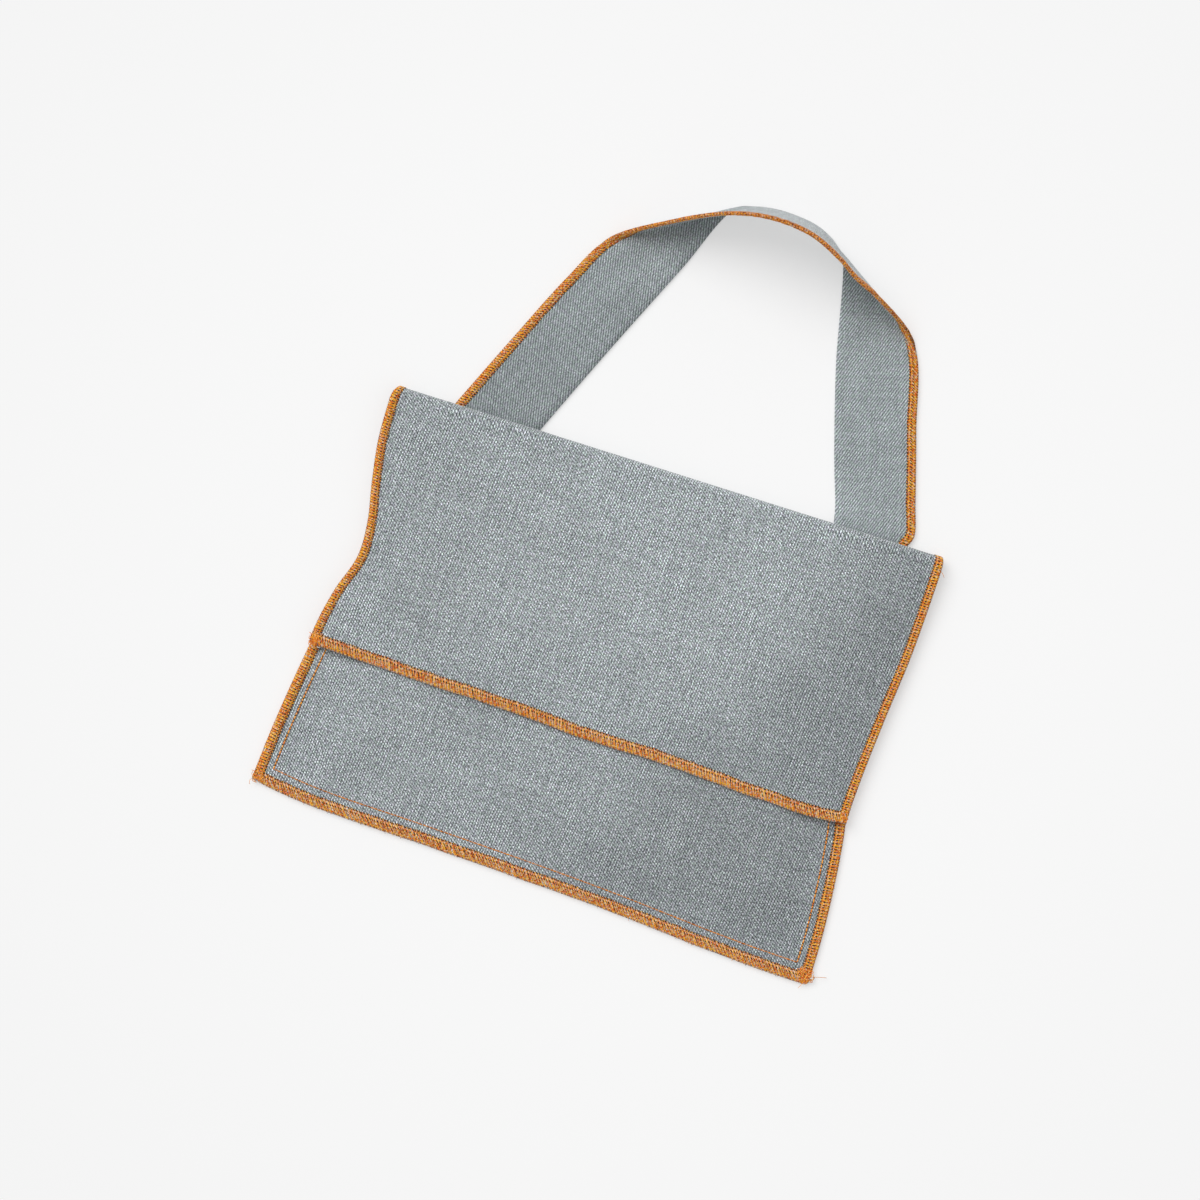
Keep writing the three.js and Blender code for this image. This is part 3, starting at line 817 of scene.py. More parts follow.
def overlock_stitch(width, pitch, stack, looper):
    """One stitch of a border with two needle rows: looper threads go over both faces and the rim.

    The loopers open towards the needle rows, where dark patches of painted shade lie over the needle holes.
    Places along the stitch are shares of its pitch.
    """
    bm = bmesh.new()
    top = stack / 2 + looper_thickness * 0.8
    outside = -rim + looper_thickness / 2
    inner_row = width - rim - 0.0002
    outer_row = inner_row - row_spacing
    over = [(0.08, inner_row, top - 0.0001), (0.27, outer_row + 0.0002, top), (0.38, 0.0004, top)]
    over += [(0.38, outside, 0), (0.03, inner_row, 0.00012 - top)]
    widths = [looper, looper, 1.1 * looper, 1.25 * looper, 0.8 * looper]
    for mirror in (False, True):
        path = [((1 - s if mirror else s) * pitch, w, z) for s, w, z in over]
        strand(bm, path, widths, looper_thickness, (1, 0, 0))

    def lengthways(points, wide, high, aside, material=0):
        strand(bm, [(s * pitch, w, z) for s, w, z in points], wide, high, aside, material)

    chain = [(-0.1, 0.0016, top + 0.00002), (0.5, 0.0009, top + 0.00018), (1.1, 0.0016, top + 0.00002)]
    lengthways(chain, chain_width, looper_thickness, (0, 1, 0))
    crest, sunk = top + 0.00014, top - 0.0002
    for needle in (inner_row, outer_row):
        lengthways([(0.2, needle, sunk), (0.5, needle, crest), (0.8, needle, sunk)],
                   needle_thread_width, looper_thickness, (0, 1, 0))
        # Dark patches of painted shade over the needle holes
        lengthways([(-0.25, needle - 0.0001, crest), (0.25, needle - 0.0001, crest)],
                   hole_shade_width, patch_thickness, (0, 1, 0), hole_shade_place)
    # The bed under the threads, from the inner needle row round the rim: matted thread darkened by painted
    # shade
    bed, edge = stack / 2 + 0.00009, -0.00005
    lengthways([(0.5, inner_row, bed), (0.5, edge, bed), (0.5, edge, -bed), (0.5, inner_row, -bed)],
               pitch, bed_thickness, (1, 0, 0), bed_place)
    return bm


def lock_stitch(start, wide):
    """One stitch of a straight seam, from a share of its pitch on, and a patch at the needle hole before it.

    Where the patch is dark, it is painted shade.
    """
    bm = bmesh.new()
    shape = [(start, -0.0001), (start + 0.15, 0.00022), (0.85 - start, 0.00022), (1 - start, -0.0001)]
    path = [(s * seam_pitch, 0, z) for s, z in shape]
    strand(bm, path, [0.7 * wide, wide, wide, 0.7 * wide], seam_thread_thickness, (0, 1, 0))
    hole = [(-0.22 * seam_pitch, 0, 0.00003), (0.22 * seam_pitch, 0, 0.00003)]
    strand(bm, hole, 1.15 * wide, patch_thickness, (0, 1, 0), seam_hole_place)
    return bm


def sew(name, edge, stitch, pitch, materials, wander=1.0, slant=0.0, thin_out=None):
    """Repeats a stitch along an edge, with small seeded unevenness"""
    row = add_object(name, mesh_from(name, stitch), materials)
    count = max(round(edge.length / pitch), 1)
    step = edge.length / count
    repeat = row.modifiers.new("stitches", "ARRAY")
    repeat.count = count
    repeat.use_relative_offset = False
    repeat.use_constant_offset = True
    repeat.constant_offset_displace = (pitch, 0, 0)
    apply_modifiers(row)
    along, inward, up = read_places(row.data).T
    along = along * step / pitch
    knots = np.arange(count + 1) * step

    def uneven(size):
        return np.interp(along, knots, chance.normal(0, size, count + 1))

    depth = inward / max(inward.max(), 0.001)
    inward = inward * (1 + uneven(width_unrest * wander))
    up = up * (1 + uneven(height_unrest * wander))
    if thin_out is not None:
        up = up * thin_out(along)
    shift = depth * uneven(inner_shift * wander * pitch)
    shift = shift + (1 - depth) * uneven(rim_shift * wander * pitch)
    along = along + shift + slant * (inward - inward.mean())
    set_places(row.data, edge.place(along, inward, up))
    return row


def curl(bm, place, heading, length, width, bend, material=0, unrest=0.5):
    """A loose thread from a place, curling as it goes"""
    steps = 6
    path = [np.array(place, float)]
    for _ in range(steps):
        heading += chance.normal(bend, unrest)
        ahead = np.array([math.cos(heading), math.sin(heading), chance.normal(0, 0.12)])
        path.append(path[-1] + ahead * length / steps)
    level = min(point[2] for point in path)
    lift = max(width - level, 0)
    strand(bm, [point + [0, 0, lift] for point in path], width, width, (0, 0, 1), material)


def loose_threads(name, tangles, tails, frays):
    """Thread tangled on corners, thread ends that stick out, and fine fray along an edge"""
    bm = bmesh.new()
    for centre, radius, count in tangles:
        for _ in range(count):
            angle, share = chance.uniform(0, 2 * math.pi), math.sqrt(chance.uniform())
            flat = radius * share * np.array([math.cos(angle), math.sin(angle)])
            place = [*(centre[:2] + flat), centre[2] + chance.uniform(-0.0002, 0.0007) * (1.2 - share)]
            curl(bm, place, chance.uniform(0, 2 * math.pi), radius * 1.2, tangle_width, 0.6)
    for place, heading, length, bend, material, width in tails:
        curl(bm, place, math.radians(heading), length, width, bend, material, unrest=0.12)
    for edge, count, reach in frays:
        for along in chance.uniform(0.02, 0.98, count) * edge.length:
            zero = np.zeros(1)
            place = edge.place(np.array([along]), zero, zero)[0]
            inward = edge.read(edge.inwards, np.array([along]))[0]
            heading = math.atan2(-inward[1], -inward[0]) + chance.normal(0, 0.7)
            length = reach * chance.uniform(0.4, 1.3)
            curl(bm, place, heading, length, fray_width, 0.1, int(chance.integers(0, pale_end)))
    mesh = mesh_from(name, bm)
    ends = add_object(name, mesh, loose_ends)
    set_places(mesh, read_places(mesh))
    return ends


def join(name, pieces):
    """Joins rows of stitches into one piece"""
    with bpy.context.temp_override(active_object=pieces[0], selected_editable_objects=pieces):
        bpy.ops.object.join()
    pieces[0].name = name
    return pieces[0]


# Materials
class Nodes:
    """Short ways to add and join the nodes of a tree"""

    def __init__(self, tree):
        self.tree = tree

    def add(self, kind, values=(), **settings):
        node = self.tree.nodes.new(kind)
        for key, value in settings.items():
            setattr(node, key, value)
        for socket, value in dict(values).items():
            self.join(value, node.inputs[socket])
        return node

    def join(self, value, socket):
        if isinstance(value, bpy.types.NodeSocket):
            self.tree.links.new(value, socket)
        else:
            socket.default_value = value

    def math(self, operation, *values):
        """One math node for one or two values, and a row of them for more"""
        if len(values) > 2:
            values = (self.math(operation, *values[:-1]), values[-1])
        return self.add("ShaderNodeMath", dict(enumerate(values)), operation=operation).outputs[0]

    def blend(self, share, first, second, mode="MIX"):
        colours = {0: share, 6: first, 7: second}
        return self.add("ShaderNodeMix", colours, data_type="RGBA", blend_type=mode).outputs[2]

    def range(self, value, low, high, new_low=0.0, new_high=1.0, kind="LINEAR"):
        names = {"Value": value, "From Min": low, "From Max": high, "To Min": new_low, "To Max": new_high}
        return self.add("ShaderNodeMapRange", names, interpolation_type=kind).outputs[0]

    def noise(self, place, scale, detail=2.0, roughness=0.5):
        values = {"Vector": place, "Scale": scale, "Detail": detail, "Roughness": roughness}
        return self.add("ShaderNodeTexNoise", values).outputs[0]

    def scaled(self, place, by):
        return self.add("ShaderNodeVectorMath", {0: place, 1: by}, operation="MULTIPLY").outputs[0]

    def parts(self, vector):
        return self.add("ShaderNodeSeparateXYZ", {0: vector}).outputs

    def vector(self, *parts):
        return self.add("ShaderNodeCombineXYZ", dict(enumerate(parts))).outputs[0]


def new_material(name, plain):
    """A material, its nodes and its shader, with plain values on the shader's own sockets"""
    material = bpy.data.materials.new(name)
    material.use_nodes = True
    shader = material.node_tree.nodes["Principled BSDF"]
    for socket, value in plain.items():
        shader.inputs[socket].default_value = value
    return material, Nodes(material.node_tree), shader


def surface(nodes, shader, colour, roughness, relief, strength, distance):
    """Joins a colour, a roughness and a bumped normal to a shader"""
    bump = nodes.add("ShaderNodeBump", {"Height": relief, "Strength": strength, "Distance": distance})
    nodes.join(colour, shader.inputs["Base Color"])
    nodes.join(roughness, shader.inputs["Roughness"])
    nodes.join(bump.outputs[0], shader.inputs["Normal"])


def new_group(name, inputs, outputs):
    """A node group with named sockets. Returns the group, its nodes, inputs and output node."""
    group = bpy.data.node_groups.new(name, "ShaderNodeTree")
    for label, kind, value in inputs:
        socket = group.interface.new_socket(label, in_out="INPUT", socket_type=kind)
        if value is not None:
            socket.default_value = value
    for label, kind in outputs:
        group.interface.new_socket(label, in_out="OUTPUT", socket_type=kind)
    nodes = Nodes(group)
    return group, nodes, nodes.add("NodeGroupInput").outputs, nodes.add("NodeGroupOutput").inputs


def twill_group():
    """Twill: in each row the warp is on top at a few of every four places, a step further each row"""
    group, nodes, given, out = new_group(
        "twill weave",
        [("Place", "NodeSocketVector", None), ("Warp pitch", "NodeSocketFloat", warp_pitch),
         ("Weft pitch", "NodeSocketFloat", weft_pitch), ("Warp floats", "NodeSocketFloat", 1.0)],
        [("Warp on top", "NodeSocketFloat"), ("Height", "NodeSocketFloat"),
         ("Warp tone", "NodeSocketFloat"), ("Weft tone", "NodeSocketFloat")],
    )
    wobble = nodes.noise(given["Place"], 420.0)
    across, along, _ = nodes.parts(given["Place"])
    shift = nodes.math("MULTIPLY", nodes.math("SUBTRACT", wobble, 0.5), 0.9)
    warp_at = nodes.math("ADD", nodes.math("DIVIDE", across, given["Warp pitch"]), shift)
    weft_at = nodes.math("ADD", nodes.math("DIVIDE", along, given["Weft pitch"]), shift)
    warp_row = nodes.math("FLOOR", warp_at)
    weft_row = nodes.math("FLOOR", weft_at)
    step = nodes.math("FLOORED_MODULO", nodes.math("ADD", warp_row, weft_row), 4.0)
    on_top = nodes.math("LESS_THAN", step, nodes.math("SUBTRACT", given["Warp floats"], 0.5))

    def rounding(at):
        """0 between two yarns and 1 on the middle of one"""
        part = nodes.math("SUBTRACT", nodes.math("FRACT", at), 0.5)
        return nodes.math("SUBTRACT", 1.0, nodes.math("MULTIPLY", part, part, 4.0))

    height = nodes.add("ShaderNodeMix", {0: on_top, 2: rounding(weft_at), 3: rounding(warp_at)}).outputs[0]

    def tone(row, position, stretch):
        """Thick and thin stretches along each yarn"""
        place = nodes.vector(nodes.math("MULTIPLY", position, stretch), row)
        return nodes.noise(place, 1.0, detail=3.0, roughness=0.7)

    nodes.join(on_top, out["Warp on top"])
    nodes.join(height, out["Height"])
    nodes.join(tone(nodes.math("MULTIPLY", warp_row, 3.7), along, 170.0), out["Warp tone"])
    nodes.join(tone(nodes.math("MULTIPLY", weft_row, 2.9), across, 240.0), out["Weft tone"])
    return group


twill = twill_group()

# The middle of the flap on its flat cloth, where painted light lightens it, and the strap's
# painted shade at places along its left foot
flap_middle = (0.02, 0.22, 0)
left_foot_painted_shade = (0.07, 0.2, 0.85, 1.0)


def tone_and_painted_shade_group():
    """Ribs up the cloth, flecks, slubs, broad patches, a corner darkened by painted shade and a middle
    lightened by painted light
    """
    group, nodes, given, out = new_group(
        "cloth tone and painted shade",
        [("Place", "NodeSocketVector", None), ("Ribs", "NodeSocketFloat", 0.1),
         ("Flecks", "NodeSocketFloat", 0.6), ("Painted corner shade", "NodeSocketFloat", 0.0),
         ("Painted middle light", "NodeSocketFloat", 0.0)],
        [("Streaks", "NodeSocketFloat"), ("Patches and painted light and shade", "NodeSocketFloat")],
    )
    place = given["Place"]
    across, along, _ = nodes.parts(place)
    # Heathered flecks
    fine = nodes.noise(nodes.scaled(place, (1300.0, 700.0, 0.0)), 1.0, detail=0.0)
    cross = nodes.noise(nodes.scaled(place, (700.0, 1200.0, 0.0)), 1.0, detail=0.0)
    fleck = nodes.noise(place, 1000.0, detail=1.0, roughness=0.5)
    total = nodes.math("ADD", fine, cross, nodes.math("MULTIPLY", fleck, 1.5))
    flecks = nodes.math("MULTIPLY", nodes.range(total, 1.35, 2.15, -1.0, 1.0), given["Flecks"])
    flecks = nodes.math("ADD", flecks, 1.0)
    # Ribs, which lean a little, wander and are stronger in some places
    slant = nodes.math("SUBTRACT", across, nodes.math("MULTIPLY", along, 0.087))
    wander = nodes.math("MULTIPLY", nodes.noise(place, 60.0), 7.0)
    turn = nodes.math("ADD", nodes.math("MULTIPLY", slant, 2 * math.pi / rib_pitch), wander)
    strength = nodes.range(nodes.noise(place, 28.0), 0.35, 0.65, 0.7, 1.3)
    depth = nodes.math("MULTIPLY", strength, given["Ribs"])
    ribs = nodes.math("ADD", 1.0, nodes.math("MULTIPLY", nodes.math("SINE", turn), depth))
    # Broad patches, and slubs of the warp and the weft
    patch = nodes.range(nodes.noise(place, 16.0, detail=3.0), 0.3, 0.7, 0.93, 1.05)
    slub = nodes.noise(nodes.scaled(place, (330.0, 26.0, 0.0)), 1.0, detail=1.0)
    thick_weft = nodes.noise(nodes.scaled(place, (22.0, 380.0, 0.0)), 1.0, detail=1.0)
    slubs = nodes.range(nodes.math("ADD", slub, thick_weft), 0.7, 1.3, 0.88, 1.12)
    # Painted shade on the lower right corner and painted light on the middle of the flap
    towards = nodes.math("SUBTRACT", across, nodes.math("MULTIPLY", along, 0.5))
    corner_share = nodes.range(towards, -0.04, 0.07, kind="SMOOTHSTEP")
    corner_shade_factor = nodes.math("SUBTRACT", 1.0, nodes.math("MULTIPLY", corner_share, given["Painted corner shade"]))
    from_middle = nodes.add("ShaderNodeVectorMath", {0: place, 1: flap_middle}, operation="DISTANCE")
    middle_share = nodes.range(from_middle.outputs["Value"], 0.04, 0.16, 1.0, 0.0, "SMOOTHSTEP")
    middle_light_factor = nodes.math("ADD", 1.0, nodes.math("MULTIPLY", middle_share, given["Painted middle light"]))
    nodes.join(nodes.math("MULTIPLY", flecks, ribs), out["Streaks"])
    nodes.join(nodes.math("MULTIPLY", patch, slubs, middle_light_factor, corner_shade_factor), out["Patches and painted light and shade"])
    return group


tone_and_painted_shade = tone_and_painted_shade_group()


def cloth_material(name, yarns, strap=False, ribs=0.03, flecks=0.6, uneven=(0, 0), sheen=0.3):
    """Denim's reverse side. Its warp runs along the bag's width on the panels and along the strap.

    Uneven says how much painted shade darkens the lower right corner, and how much painted light lightens the
    flap's middle.
    """
    weft_dark, weft_light, warp_dark, warp_light = yarns
    plain = {"Specular IOR Level": 0.2, "Sheen Weight": sheen, "Sheen Roughness": 0.5}
    material, nodes, shader = new_material(name, plain)
    place = nodes.add("ShaderNodeUVMap", uv_map="cloth").outputs[0]
    weave = nodes.add("ShaderNodeGroup", node_tree=twill)
    x, y, _ = nodes.parts(place)
    if strap:
        # In the photograph the twill of the two legs slants to opposite sides, so it turns at the crown
        past_crown = nodes.math("SUBTRACT", y, float(strap_length / 2))
        grain = nodes.vector(nodes.math("MULTIPLY", x, -1.0), nodes.math("ABSOLUTE", past_crown))
    else:
        grain = nodes.vector(y, x)
    nodes.join(grain, weave.inputs["Place"])
    nodes.join(2.0 if strap else 1.0, weave.inputs["Warp floats"])
    painted_corner_shade, painted_middle_light = map(float, uneven)
    given = {"Place": place, "Ribs": ribs, "Flecks": flecks,
             "Painted corner shade": painted_corner_shade, "Painted middle light": painted_middle_light}
    tone = nodes.add("ShaderNodeGroup", node_tree=tone_and_painted_shade)
    for socket, value in given.items():
        nodes.join(value, tone.inputs[socket])
    weft_share = nodes.range(weave.outputs["Weft tone"], 0.3, 0.7)
    warp_share = nodes.range(weave.outputs["Warp tone"], 0.3, 0.7)
    weft = nodes.blend(weft_share, weft_dark, weft_light)
    warp = nodes.blend(warp_share, warp_dark, warp_light)
    yarn = nodes.blend(weave.outputs["Warp on top"], weft, warp)
    # Painted shade in the hollows between yarns, from the weave's height
    shade = nodes.range(weave.outputs["Height"], 0.0, 0.8, 0.45, 1.0)
    shade = nodes.math("MULTIPLY", shade, tone.outputs["Streaks"], tone.outputs["Patches and painted light and shade"])
    if strap:
        # Painted shade: the strap's left foot is the darkest
        shade = nodes.math("MULTIPLY", shade, nodes.range(y, *left_foot_painted_shade))
    colour = nodes.blend(1.0, yarn, nodes.vector(shade, shade, shade), "MULTIPLY")
    # Faint violet and green tints, as cloth of mixed dye lots shows
    tint = nodes.range(nodes.noise(place, 420.0, detail=1.0), 0.35, 0.65)
    tint = nodes.blend(tint, (1.04, 0.98, 1.05, 1), (0.96, 1.02, 0.96, 1))
    colour = nodes.blend(1.0, colour, tint, "MULTIPLY")
    fuzz = nodes.noise(place, 5200.0, detail=2.0)
    roughness = nodes.range(fuzz, 0.3, 0.7, 0.85, 0.98)
    relief = nodes.math("ADD", weave.outputs["Height"], nodes.math("MULTIPLY", fuzz, 0.5))
    surface(nodes, shader, colour, roughness, relief, 0.55, 0.00022)
    return material


def fibre_group():
    """Spun thread: uneven dye, twisted fibres and stray pale fuzz"""
    group, nodes, given, out = new_group(
        "spun thread",
        [("Place", "NodeSocketVector", None)],
        [("Dye", "NodeSocketFloat"), ("Fuzz", "NodeSocketFloat"), ("Relief", "NodeSocketFloat")],
    )
    nodes.join(nodes.range(nodes.noise(given["Place"], 850.0, 2.0, 0.6), 0.42, 0.58), out["Dye"])
    fuzz = nodes.noise(given["Place"], 950.0, 1.0, 0.6)
    nodes.join(nodes.range(fuzz, 0.54, 0.62), out["Fuzz"])
    nodes.join(nodes.noise(nodes.scaled(given["Place"], (1.0, 1.0, 0.5)), 3600.0, 2.0, 0.6), out["Relief"])
    return group


spun_thread = fibre_group()


def thread_material(name, dark, light, pale):
    """Spun thread between a dark and a light dye, with pale fuzz on it"""
    material, nodes, shader = new_material(name, {"Specular IOR Level": 0.3, "Sheen Weight": 0.05})
    place = nodes.add("ShaderNodeTexCoord").outputs["Object"]
    fibres = nodes.add("ShaderNodeGroup", node_tree=spun_thread)
    nodes.join(place, fibres.inputs["Place"])
    dyed = nodes.blend(fibres.outputs["Dye"], (*dark, 1), (*light, 1))
    colour = nodes.blend(nodes.math("MULTIPLY", fibres.outputs["Fuzz"], 0.54), dyed, (*pale, 1))
    relief = fibres.outputs["Relief"]
    surface(nodes, shader, colour, nodes.range(relief, 0.3, 0.7, 0.6, 0.85), relief, 0.5, 0.0001)
    return material


def seen_directly(nodes):
    """1 for what the camera sees, directly, mirrored or through something clear"""
    rays = nodes.add("ShaderNodeLightPath").outputs
    glossy = nodes.math("MAXIMUM", rays["Is Camera Ray"], rays["Is Glossy Ray"])
    return nodes.math("MAXIMUM", glossy, rays["Is Transmission Ray"])


# How much of the floor's look is a painted glow that the camera sees, which weakens the shadows on it
painted_floor_glow = 0.5


def floor_material():
    """The pale floor, with painted shade that darkens it a little away from the bag, and a painted glow"""
    material, nodes, shader = new_material("pale floor", {"Roughness": 0.9, "Specular IOR Level": 0.0})
    place = nodes.add("ShaderNodeTexCoord").outputs["Object"]
    distance = nodes.add("ShaderNodeVectorMath", {0: place}, operation="LENGTH").outputs["Value"]
    # Painted shade: the floor's colour darkens away from the bag
    share = nodes.range(distance, 0.1, 0.7, kind="SMOOTHSTEP")
    tint = nodes.blend(share, (0.955, 0.955, 0.955, 1), (0.915, 0.915, 0.915, 1))
    nodes.join(tint, shader.inputs["Base Color"])
    # Painted glow that the camera sees, which lifts the shadows on the floor
    glow = nodes.add("ShaderNodeEmission", {"Color": tint, "Strength": 1.0})
    seen = nodes.math("MULTIPLY", seen_directly(nodes), painted_floor_glow)
    mixed = nodes.add("ShaderNodeMixShader", {0: seen, 1: shader.outputs[0], 2: glow.outputs[0]})
    nodes.join(mixed.outputs[0], material.node_tree.nodes["Material Output"].inputs[0])
    return material


# Colours of the weft, dark and light, and of the warp, dark and light
pale_yarns = [(0.347, 0.387, 0.4, 1), (0.69, 0.733, 0.742, 1), (0.048, 0.07, 0.09, 1), (0.154, 0.19, 0.22, 1)]
indigo_yarns = [(0.2, 0.23, 0.27, 1), (0.36, 0.39, 0.43, 1), (0.045, 0.065, 0.11, 1), (0.11, 0.15, 0.22, 1)]
strap_yarns = [(0.44, 0.49, 0.502, 1), (0.7, 0.77, 0.78, 1), (0.14, 0.168, 0.178, 1), (0.3, 0.337, 0.35, 1)]
pale_denim = cloth_material("pale denim", pale_yarns, ribs=0.42, uneven=(0.2, 0.1))
strap_denim = cloth_material("strap denim", strap_yarns, strap=True, ribs=0.1, flecks=0.28, sheen=0.5)
inner_denim = cloth_material("indigo denim", indigo_yarns)
orange_thread = thread_material("orange thread", (0.86, 0.17, 0.004), (1.0, 0.57, 0.04), (1.0, 0.9, 0.76))
# A darker copy of the orange thread, for matted thread and as painted shade in the bed under the stitches
matted_and_shaded_thread = thread_material("matted thread and painted shade", (0.3, 0.07, 0.006), (0.88, 0.3, 0.03), (0.55, 0.45, 0.38))
# Near black: painted shade at needle holes, and dark thread ends and fray
hole_shade_and_dark_thread = thread_material("painted hole shade and dark thread", (0.02, 0.008, 0.005), (0.08, 0.03, 0.015), (0.12, 0.1, 0.09))
bright_thread = thread_material("bright thread", (0.8, 0.18, 0.01), (1.0, 0.45, 0.05), (1.0, 0.65, 0.35))
pale_fibre = thread_material("pale fibre", (0.6, 0.58, 0.55), (0.85, 0.83, 0.8), (0.95, 0.95, 0.95))
frayed_cloth = thread_material("frayed cloth", (0.34, 0.1, 0.015), (0.88, 0.56, 0.4), (1.0, 0.92, 0.86))
cloths = [pale_denim, inner_denim]
threads = [orange_thread, matted_and_shaded_thread, hole_shade_and_dark_thread]
open_threads = [orange_thread, frayed_cloth, hole_shade_and_dark_thread]
seam_threads = [matted_and_shaded_thread, hole_shade_and_dark_thread]
loose_ends = [bright_thread, matted_and_shaded_thread, hole_shade_and_dark_thread, pale_fibre]


# Bag
def fold_blend(piece):
    """Bakes the piece's place into its mesh"""
    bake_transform(piece)


def strap_blend(piece):
    """Bakes the piece's place into its mesh"""
    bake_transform(piece)


main_cloth, main_area = cloth_sheet(
    "main_cloth", main_point, main_flat, panel_columns, main_rows, cloths)
fold_blend(main_cloth)
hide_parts("back_panel", "flap_panel")
front_cloth, front_area = cloth_sheet(
    "front_cloth", front_point, plain_flat, panel_columns, front_rows, cloths)
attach(front_cloth, "pouch")
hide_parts("front_panel")
strap_cloth, strap_area = cloth_sheet(
    "strap_cloth", strap_point, strap_flat, strap_columns, strap_rows, [strap_denim, inner_denim])
strap_blend(strap_cloth)
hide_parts("strap_band", "strap_end_left", "strap_end_right")


def overlock(name, edge, width, pitch, stack, nodes, loose=False, **habits):
    """A border. A loose one lets frayed cloth show between its threads."""
    stitch = overlock_stitch(width, pitch, stack, open_looper_width if loose else looper_width)
    border = sew(name, edge, stitch, pitch, open_threads if loose else threads, **habits)
    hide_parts(*nodes)
    return border


def sew_to_pouch(piece, node):
    """What every seam and box of lock stitches on the pouch has in common"""
    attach(piece, "pouch")
    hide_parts(node)


def straight_seam(name, path, start, width, materials, node):
    """A row of lock stitches on the pouch"""
    sew_to_pouch(sew(name, path, lock_stitch(start, width), seam_pitch, materials), node)


def thin_above_mouth(edge):
    """The side borders wrap two panels up to the mouth, and one above it"""
    level = mouth_share * bag_height
    thin = (cloth_thickness + thread_thickness) / (both_panels + thread_thickness)

    def height_share(along):
        y = np.interp(along, edge.at, edge.points[:, 1])
        return mix(1, thin, smooth(y, level, level + thinning_run))

    return height_share


for side, name in ((-1, "left"), (1, "right")):
    edge = side_border(side)
    border = overlock(f"side_overlock_{name}", edge, side_edging_width, overlock_pitch, both_panels,
                      [f"side_edging_{name}"], thin_out=thin_above_mouth(edge))
    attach(border, "pouch")
    border = overlock(f"flap_overlock_{name}", flap_border(0 if side < 0 else 1), flap_edging_width,
                      fine_pitch, cloth_thickness, [f"flap_edging_{name}"])
    fold_blend(border)
    straight_seam(f"side_stitches_{name}", side_seam_path(side), 0.1, side_thread_width,
                  [bright_thread, hole_shade_and_dark_thread], f"side_seam_{name}")
    foot = left_foot if side < 0 else right_foot
    rows = [sew(f"box_{name}_{k}", path, lock_stitch(0.15, box_thread_width), seam_pitch, seam_threads)
            for k, path in enumerate(box_paths(foot))]
    sew_to_pouch(join(f"strap_box_{name}", rows), f"strap_stitching_{name}")

bottom = overlock("bottom_overlock", bottom_border(), bottom_edging_width, overlock_pitch, both_panels,
                  ["bottom_edging"], loose=True, slant=-0.9, wander=1.8)
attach(bottom, "pouch")
straight_seam("bottom_stitches", bottom_seam_path(), 0.03, bottom_thread_width,
              [matted_and_shaded_thread, pale_fibre], "bottom_seam")
mouth = overlock("mouth_overlock", across_border(front_point, 1, forwards=False), mouth_edging_width,
                 overlock_pitch, cloth_thickness, ["mouth_edging"])
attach(mouth, "pouch")
hem = overlock("hem_overlock", across_border(flap_point, 0), hem_edging_width, overlock_pitch,
               cloth_thickness, ["hem_edging"], loose=True, slant=-0.5, wander=1.6)
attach(hem, "flap")
strap_overlock = overlock("strap_overlock", strap_border(), strap_edging_width, fine_pitch, strap_thickness,
                          ["strap_edging", "strap_end_edging_left", "strap_end_edging_right"])
strap_blend(strap_overlock)


def corner_of(point_at, column, row, inward, up):
    """A place near a corner of the cloth, in and up from it"""
    place = point_at(np.array([float(column)]), np.array([float(row)]))[0]
    return place + [inward if column < 0.5 else -inward, up, 0]


flap_end = cloth_thickness / 2 + thread_thickness / 2
hem_left = corner_of(flap_point, 0, 0, 0.0025, 0.0025) + [0, 0, flap_end]
hem_right = corner_of(flap_point, 1, 0, 0.0036, 0.0034) + [0, 0, flap_end]
low_left = corner_of(front_point, 0, 0, 0.003, 0.003) + [0, 0, flap_end]
low_right = corner_of(front_point, 1, 0, 0.004, 0.0045) + [0, 0, flap_end]
fold_right = corner_of(flap_point, 1, 1, 0.0, -0.0035)
# Thread ends: a place, a heading in degrees, a length, a bend, a material and a width
flap_tails = [
    (hem_left + [-0.002, -0.0012, 0], 205, 0.0115, -1.0, bright_end, thin_end),
    (hem_left + [-0.002, -0.001, 0], 175, 0.006, -0.7, bright_end, thin_end),
    (hem_left + [0.003, -0.0035, 0], -50, 0.002, 0.2, pale_end, thick_end),
    (hem_left + [-0.0005, -0.003, 0], -100, 0.0018, 0.2, pale_end, thick_end),
    (hem_right + [0.001, -0.003, 0], -30, 0.004, 0.4, bright_end, thin_end),
    (fold_right, -20, 0.0048, -0.12, bright_end, thin_end),
    (hem_right + [0.0015, 0.0005, 0.0003], 60, 0.002, 0.3, pale_end, thick_end),
    (hem_right + [0.002, 0.001, 0.0003], 80, 0.002, 0.3, dark_end, thick_end),
]
flap_threads = loose_threads(
    "flap_thread_ends", [(hem_left, 0.0032, 44), (hem_right, 0.0026, 26)], flap_tails, [])
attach(flap_threads, "flap")
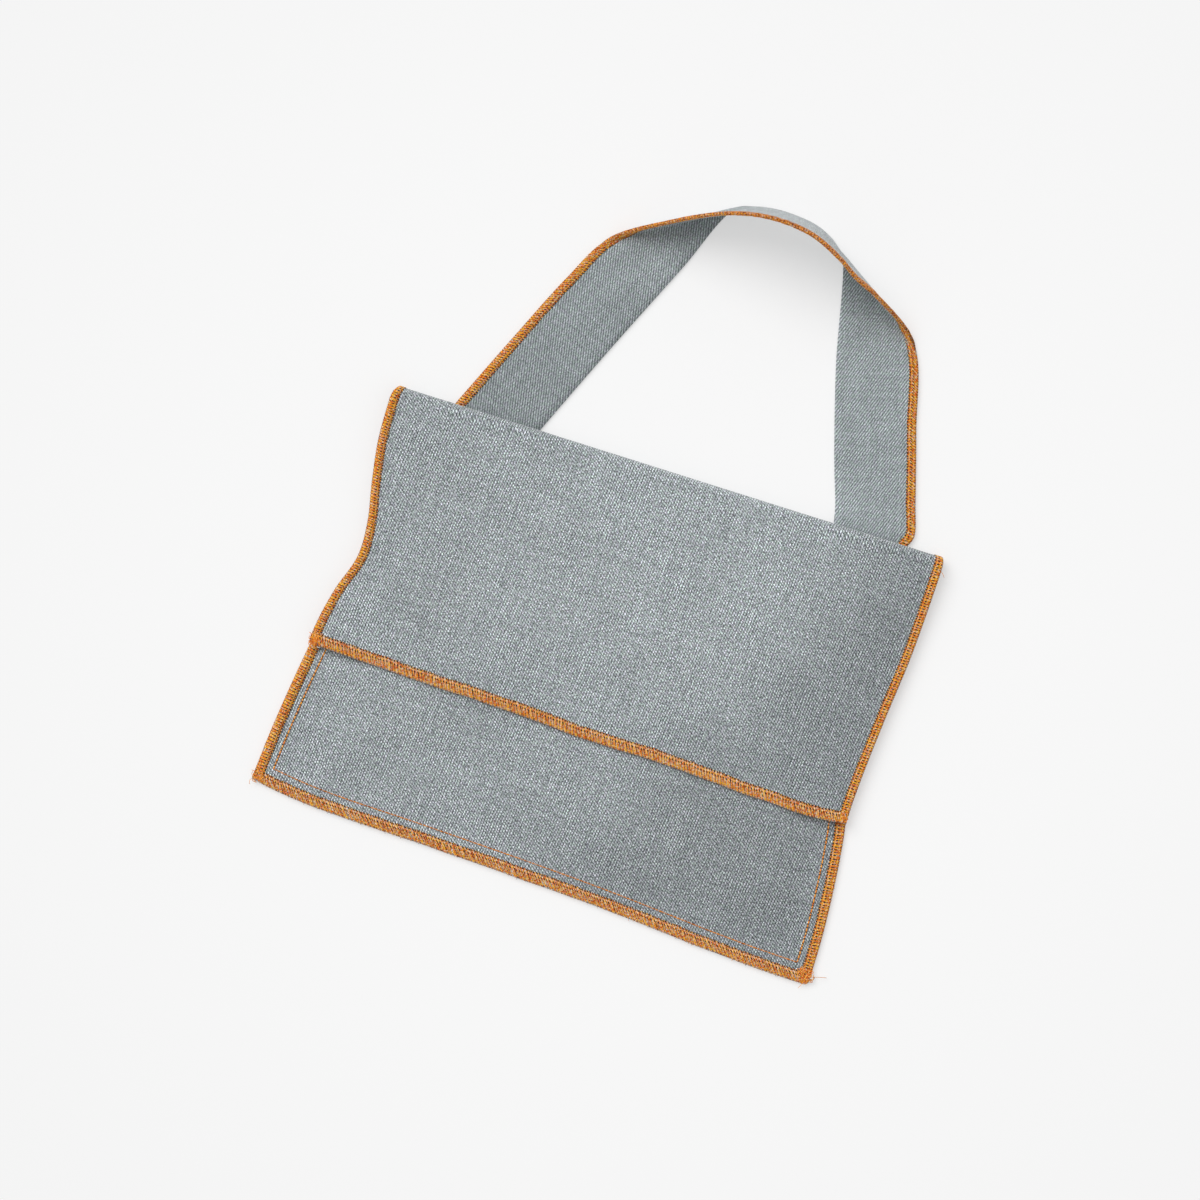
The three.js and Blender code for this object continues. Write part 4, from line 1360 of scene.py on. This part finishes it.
pouch_tails = [
    (low_right + [0.003, -0.001, 0], 26, 0.011, -0.03, bright_end, thin_end),
    (low_right + [0.001, -0.004, 0], -100, 0.006, -0.05, bright_end, thin_end),
    (low_right + [0.0028, -0.0015, 0], -75, 0.0055, 0.45, dark_end, thick_end),
    (low_right + [0.0034, -0.0022, 0], -60, 0.003, 0.4, pale_end, thin_end),
    (low_right + [0.0035, 0.001, 0], 60, 0.004, 0.2, bright_end, thin_end),
    (low_left + [-0.003, -0.003, 0], 200, 0.004, 0.3, bright_end, thin_end),
    (low_left + [-0.003, -0.001, 0], 160, 0.003, -0.3, matted_end, thin_end),
]
pouch_threads = loose_threads(
    "pouch_thread_ends", [(low_right, 0.0042, 46), (low_left, 0.0034, 26)], pouch_tails,
    [(bottom_border(), 90, 0.0012), (side_border(-1), 34, 0.0009), (side_border(1), 34, 0.0009)])
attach(pouch_threads, "pouch")


# Floor, light and camera
floor_reach = 4
floor_drop = 0.0002
window_way = (0.75, -0.5, -1)
camera_place = (-0.0135, -0.039, 1.757)
photo_turn = math.radians(18.3)


def add_floor():
    bm = bmesh.new()
    bmesh.ops.create_grid(bm, x_segments=1, y_segments=1, size=floor_reach)
    floor = add_object("floor", mesh_from("floor", bm), [floor_material()])
    floor.location.z = -floor_drop


def add_light():
    """Soft light from the photograph's upper left, and an even white surround"""
    lamp = bpy.data.lights.new("window_light", "SUN")
    lamp.energy = 2.0
    lamp.angle = math.radians(45)
    window = bpy.data.objects.new("window_light", lamp)
    window.rotation_euler = Vector(window_way).to_track_quat("-Z", "Y").to_euler()
    bpy.context.scene.collection.objects.link(window)
    world = bpy.data.worlds.new("surround")
    world.use_nodes = True
    nodes = Nodes(world.node_tree)
    sky = world.node_tree.nodes["Background"]
    sky.inputs["Color"].default_value = (1, 1, 1, 1)
    nodes.join(nodes.range(seen_directly(nodes), 0.0, 1.0, 0.5, 0.88), sky.inputs["Strength"])
    bpy.context.scene.world = world


def add_camera():
    """Straight above the bag, turned as the photograph shows it"""
    data = bpy.data.cameras.new("camera")
    data.lens = 85
    data.sensor_width = 36
    camera = bpy.data.objects.new("camera", data)
    camera.location = camera_place
    camera.rotation_euler = (0, 0, photo_turn)
    bpy.context.scene.collection.objects.link(camera)
    bpy.context.scene.camera = camera


add_floor()
add_light()
add_camera()
bpy.context.scene.view_settings.view_transform = "Standard"
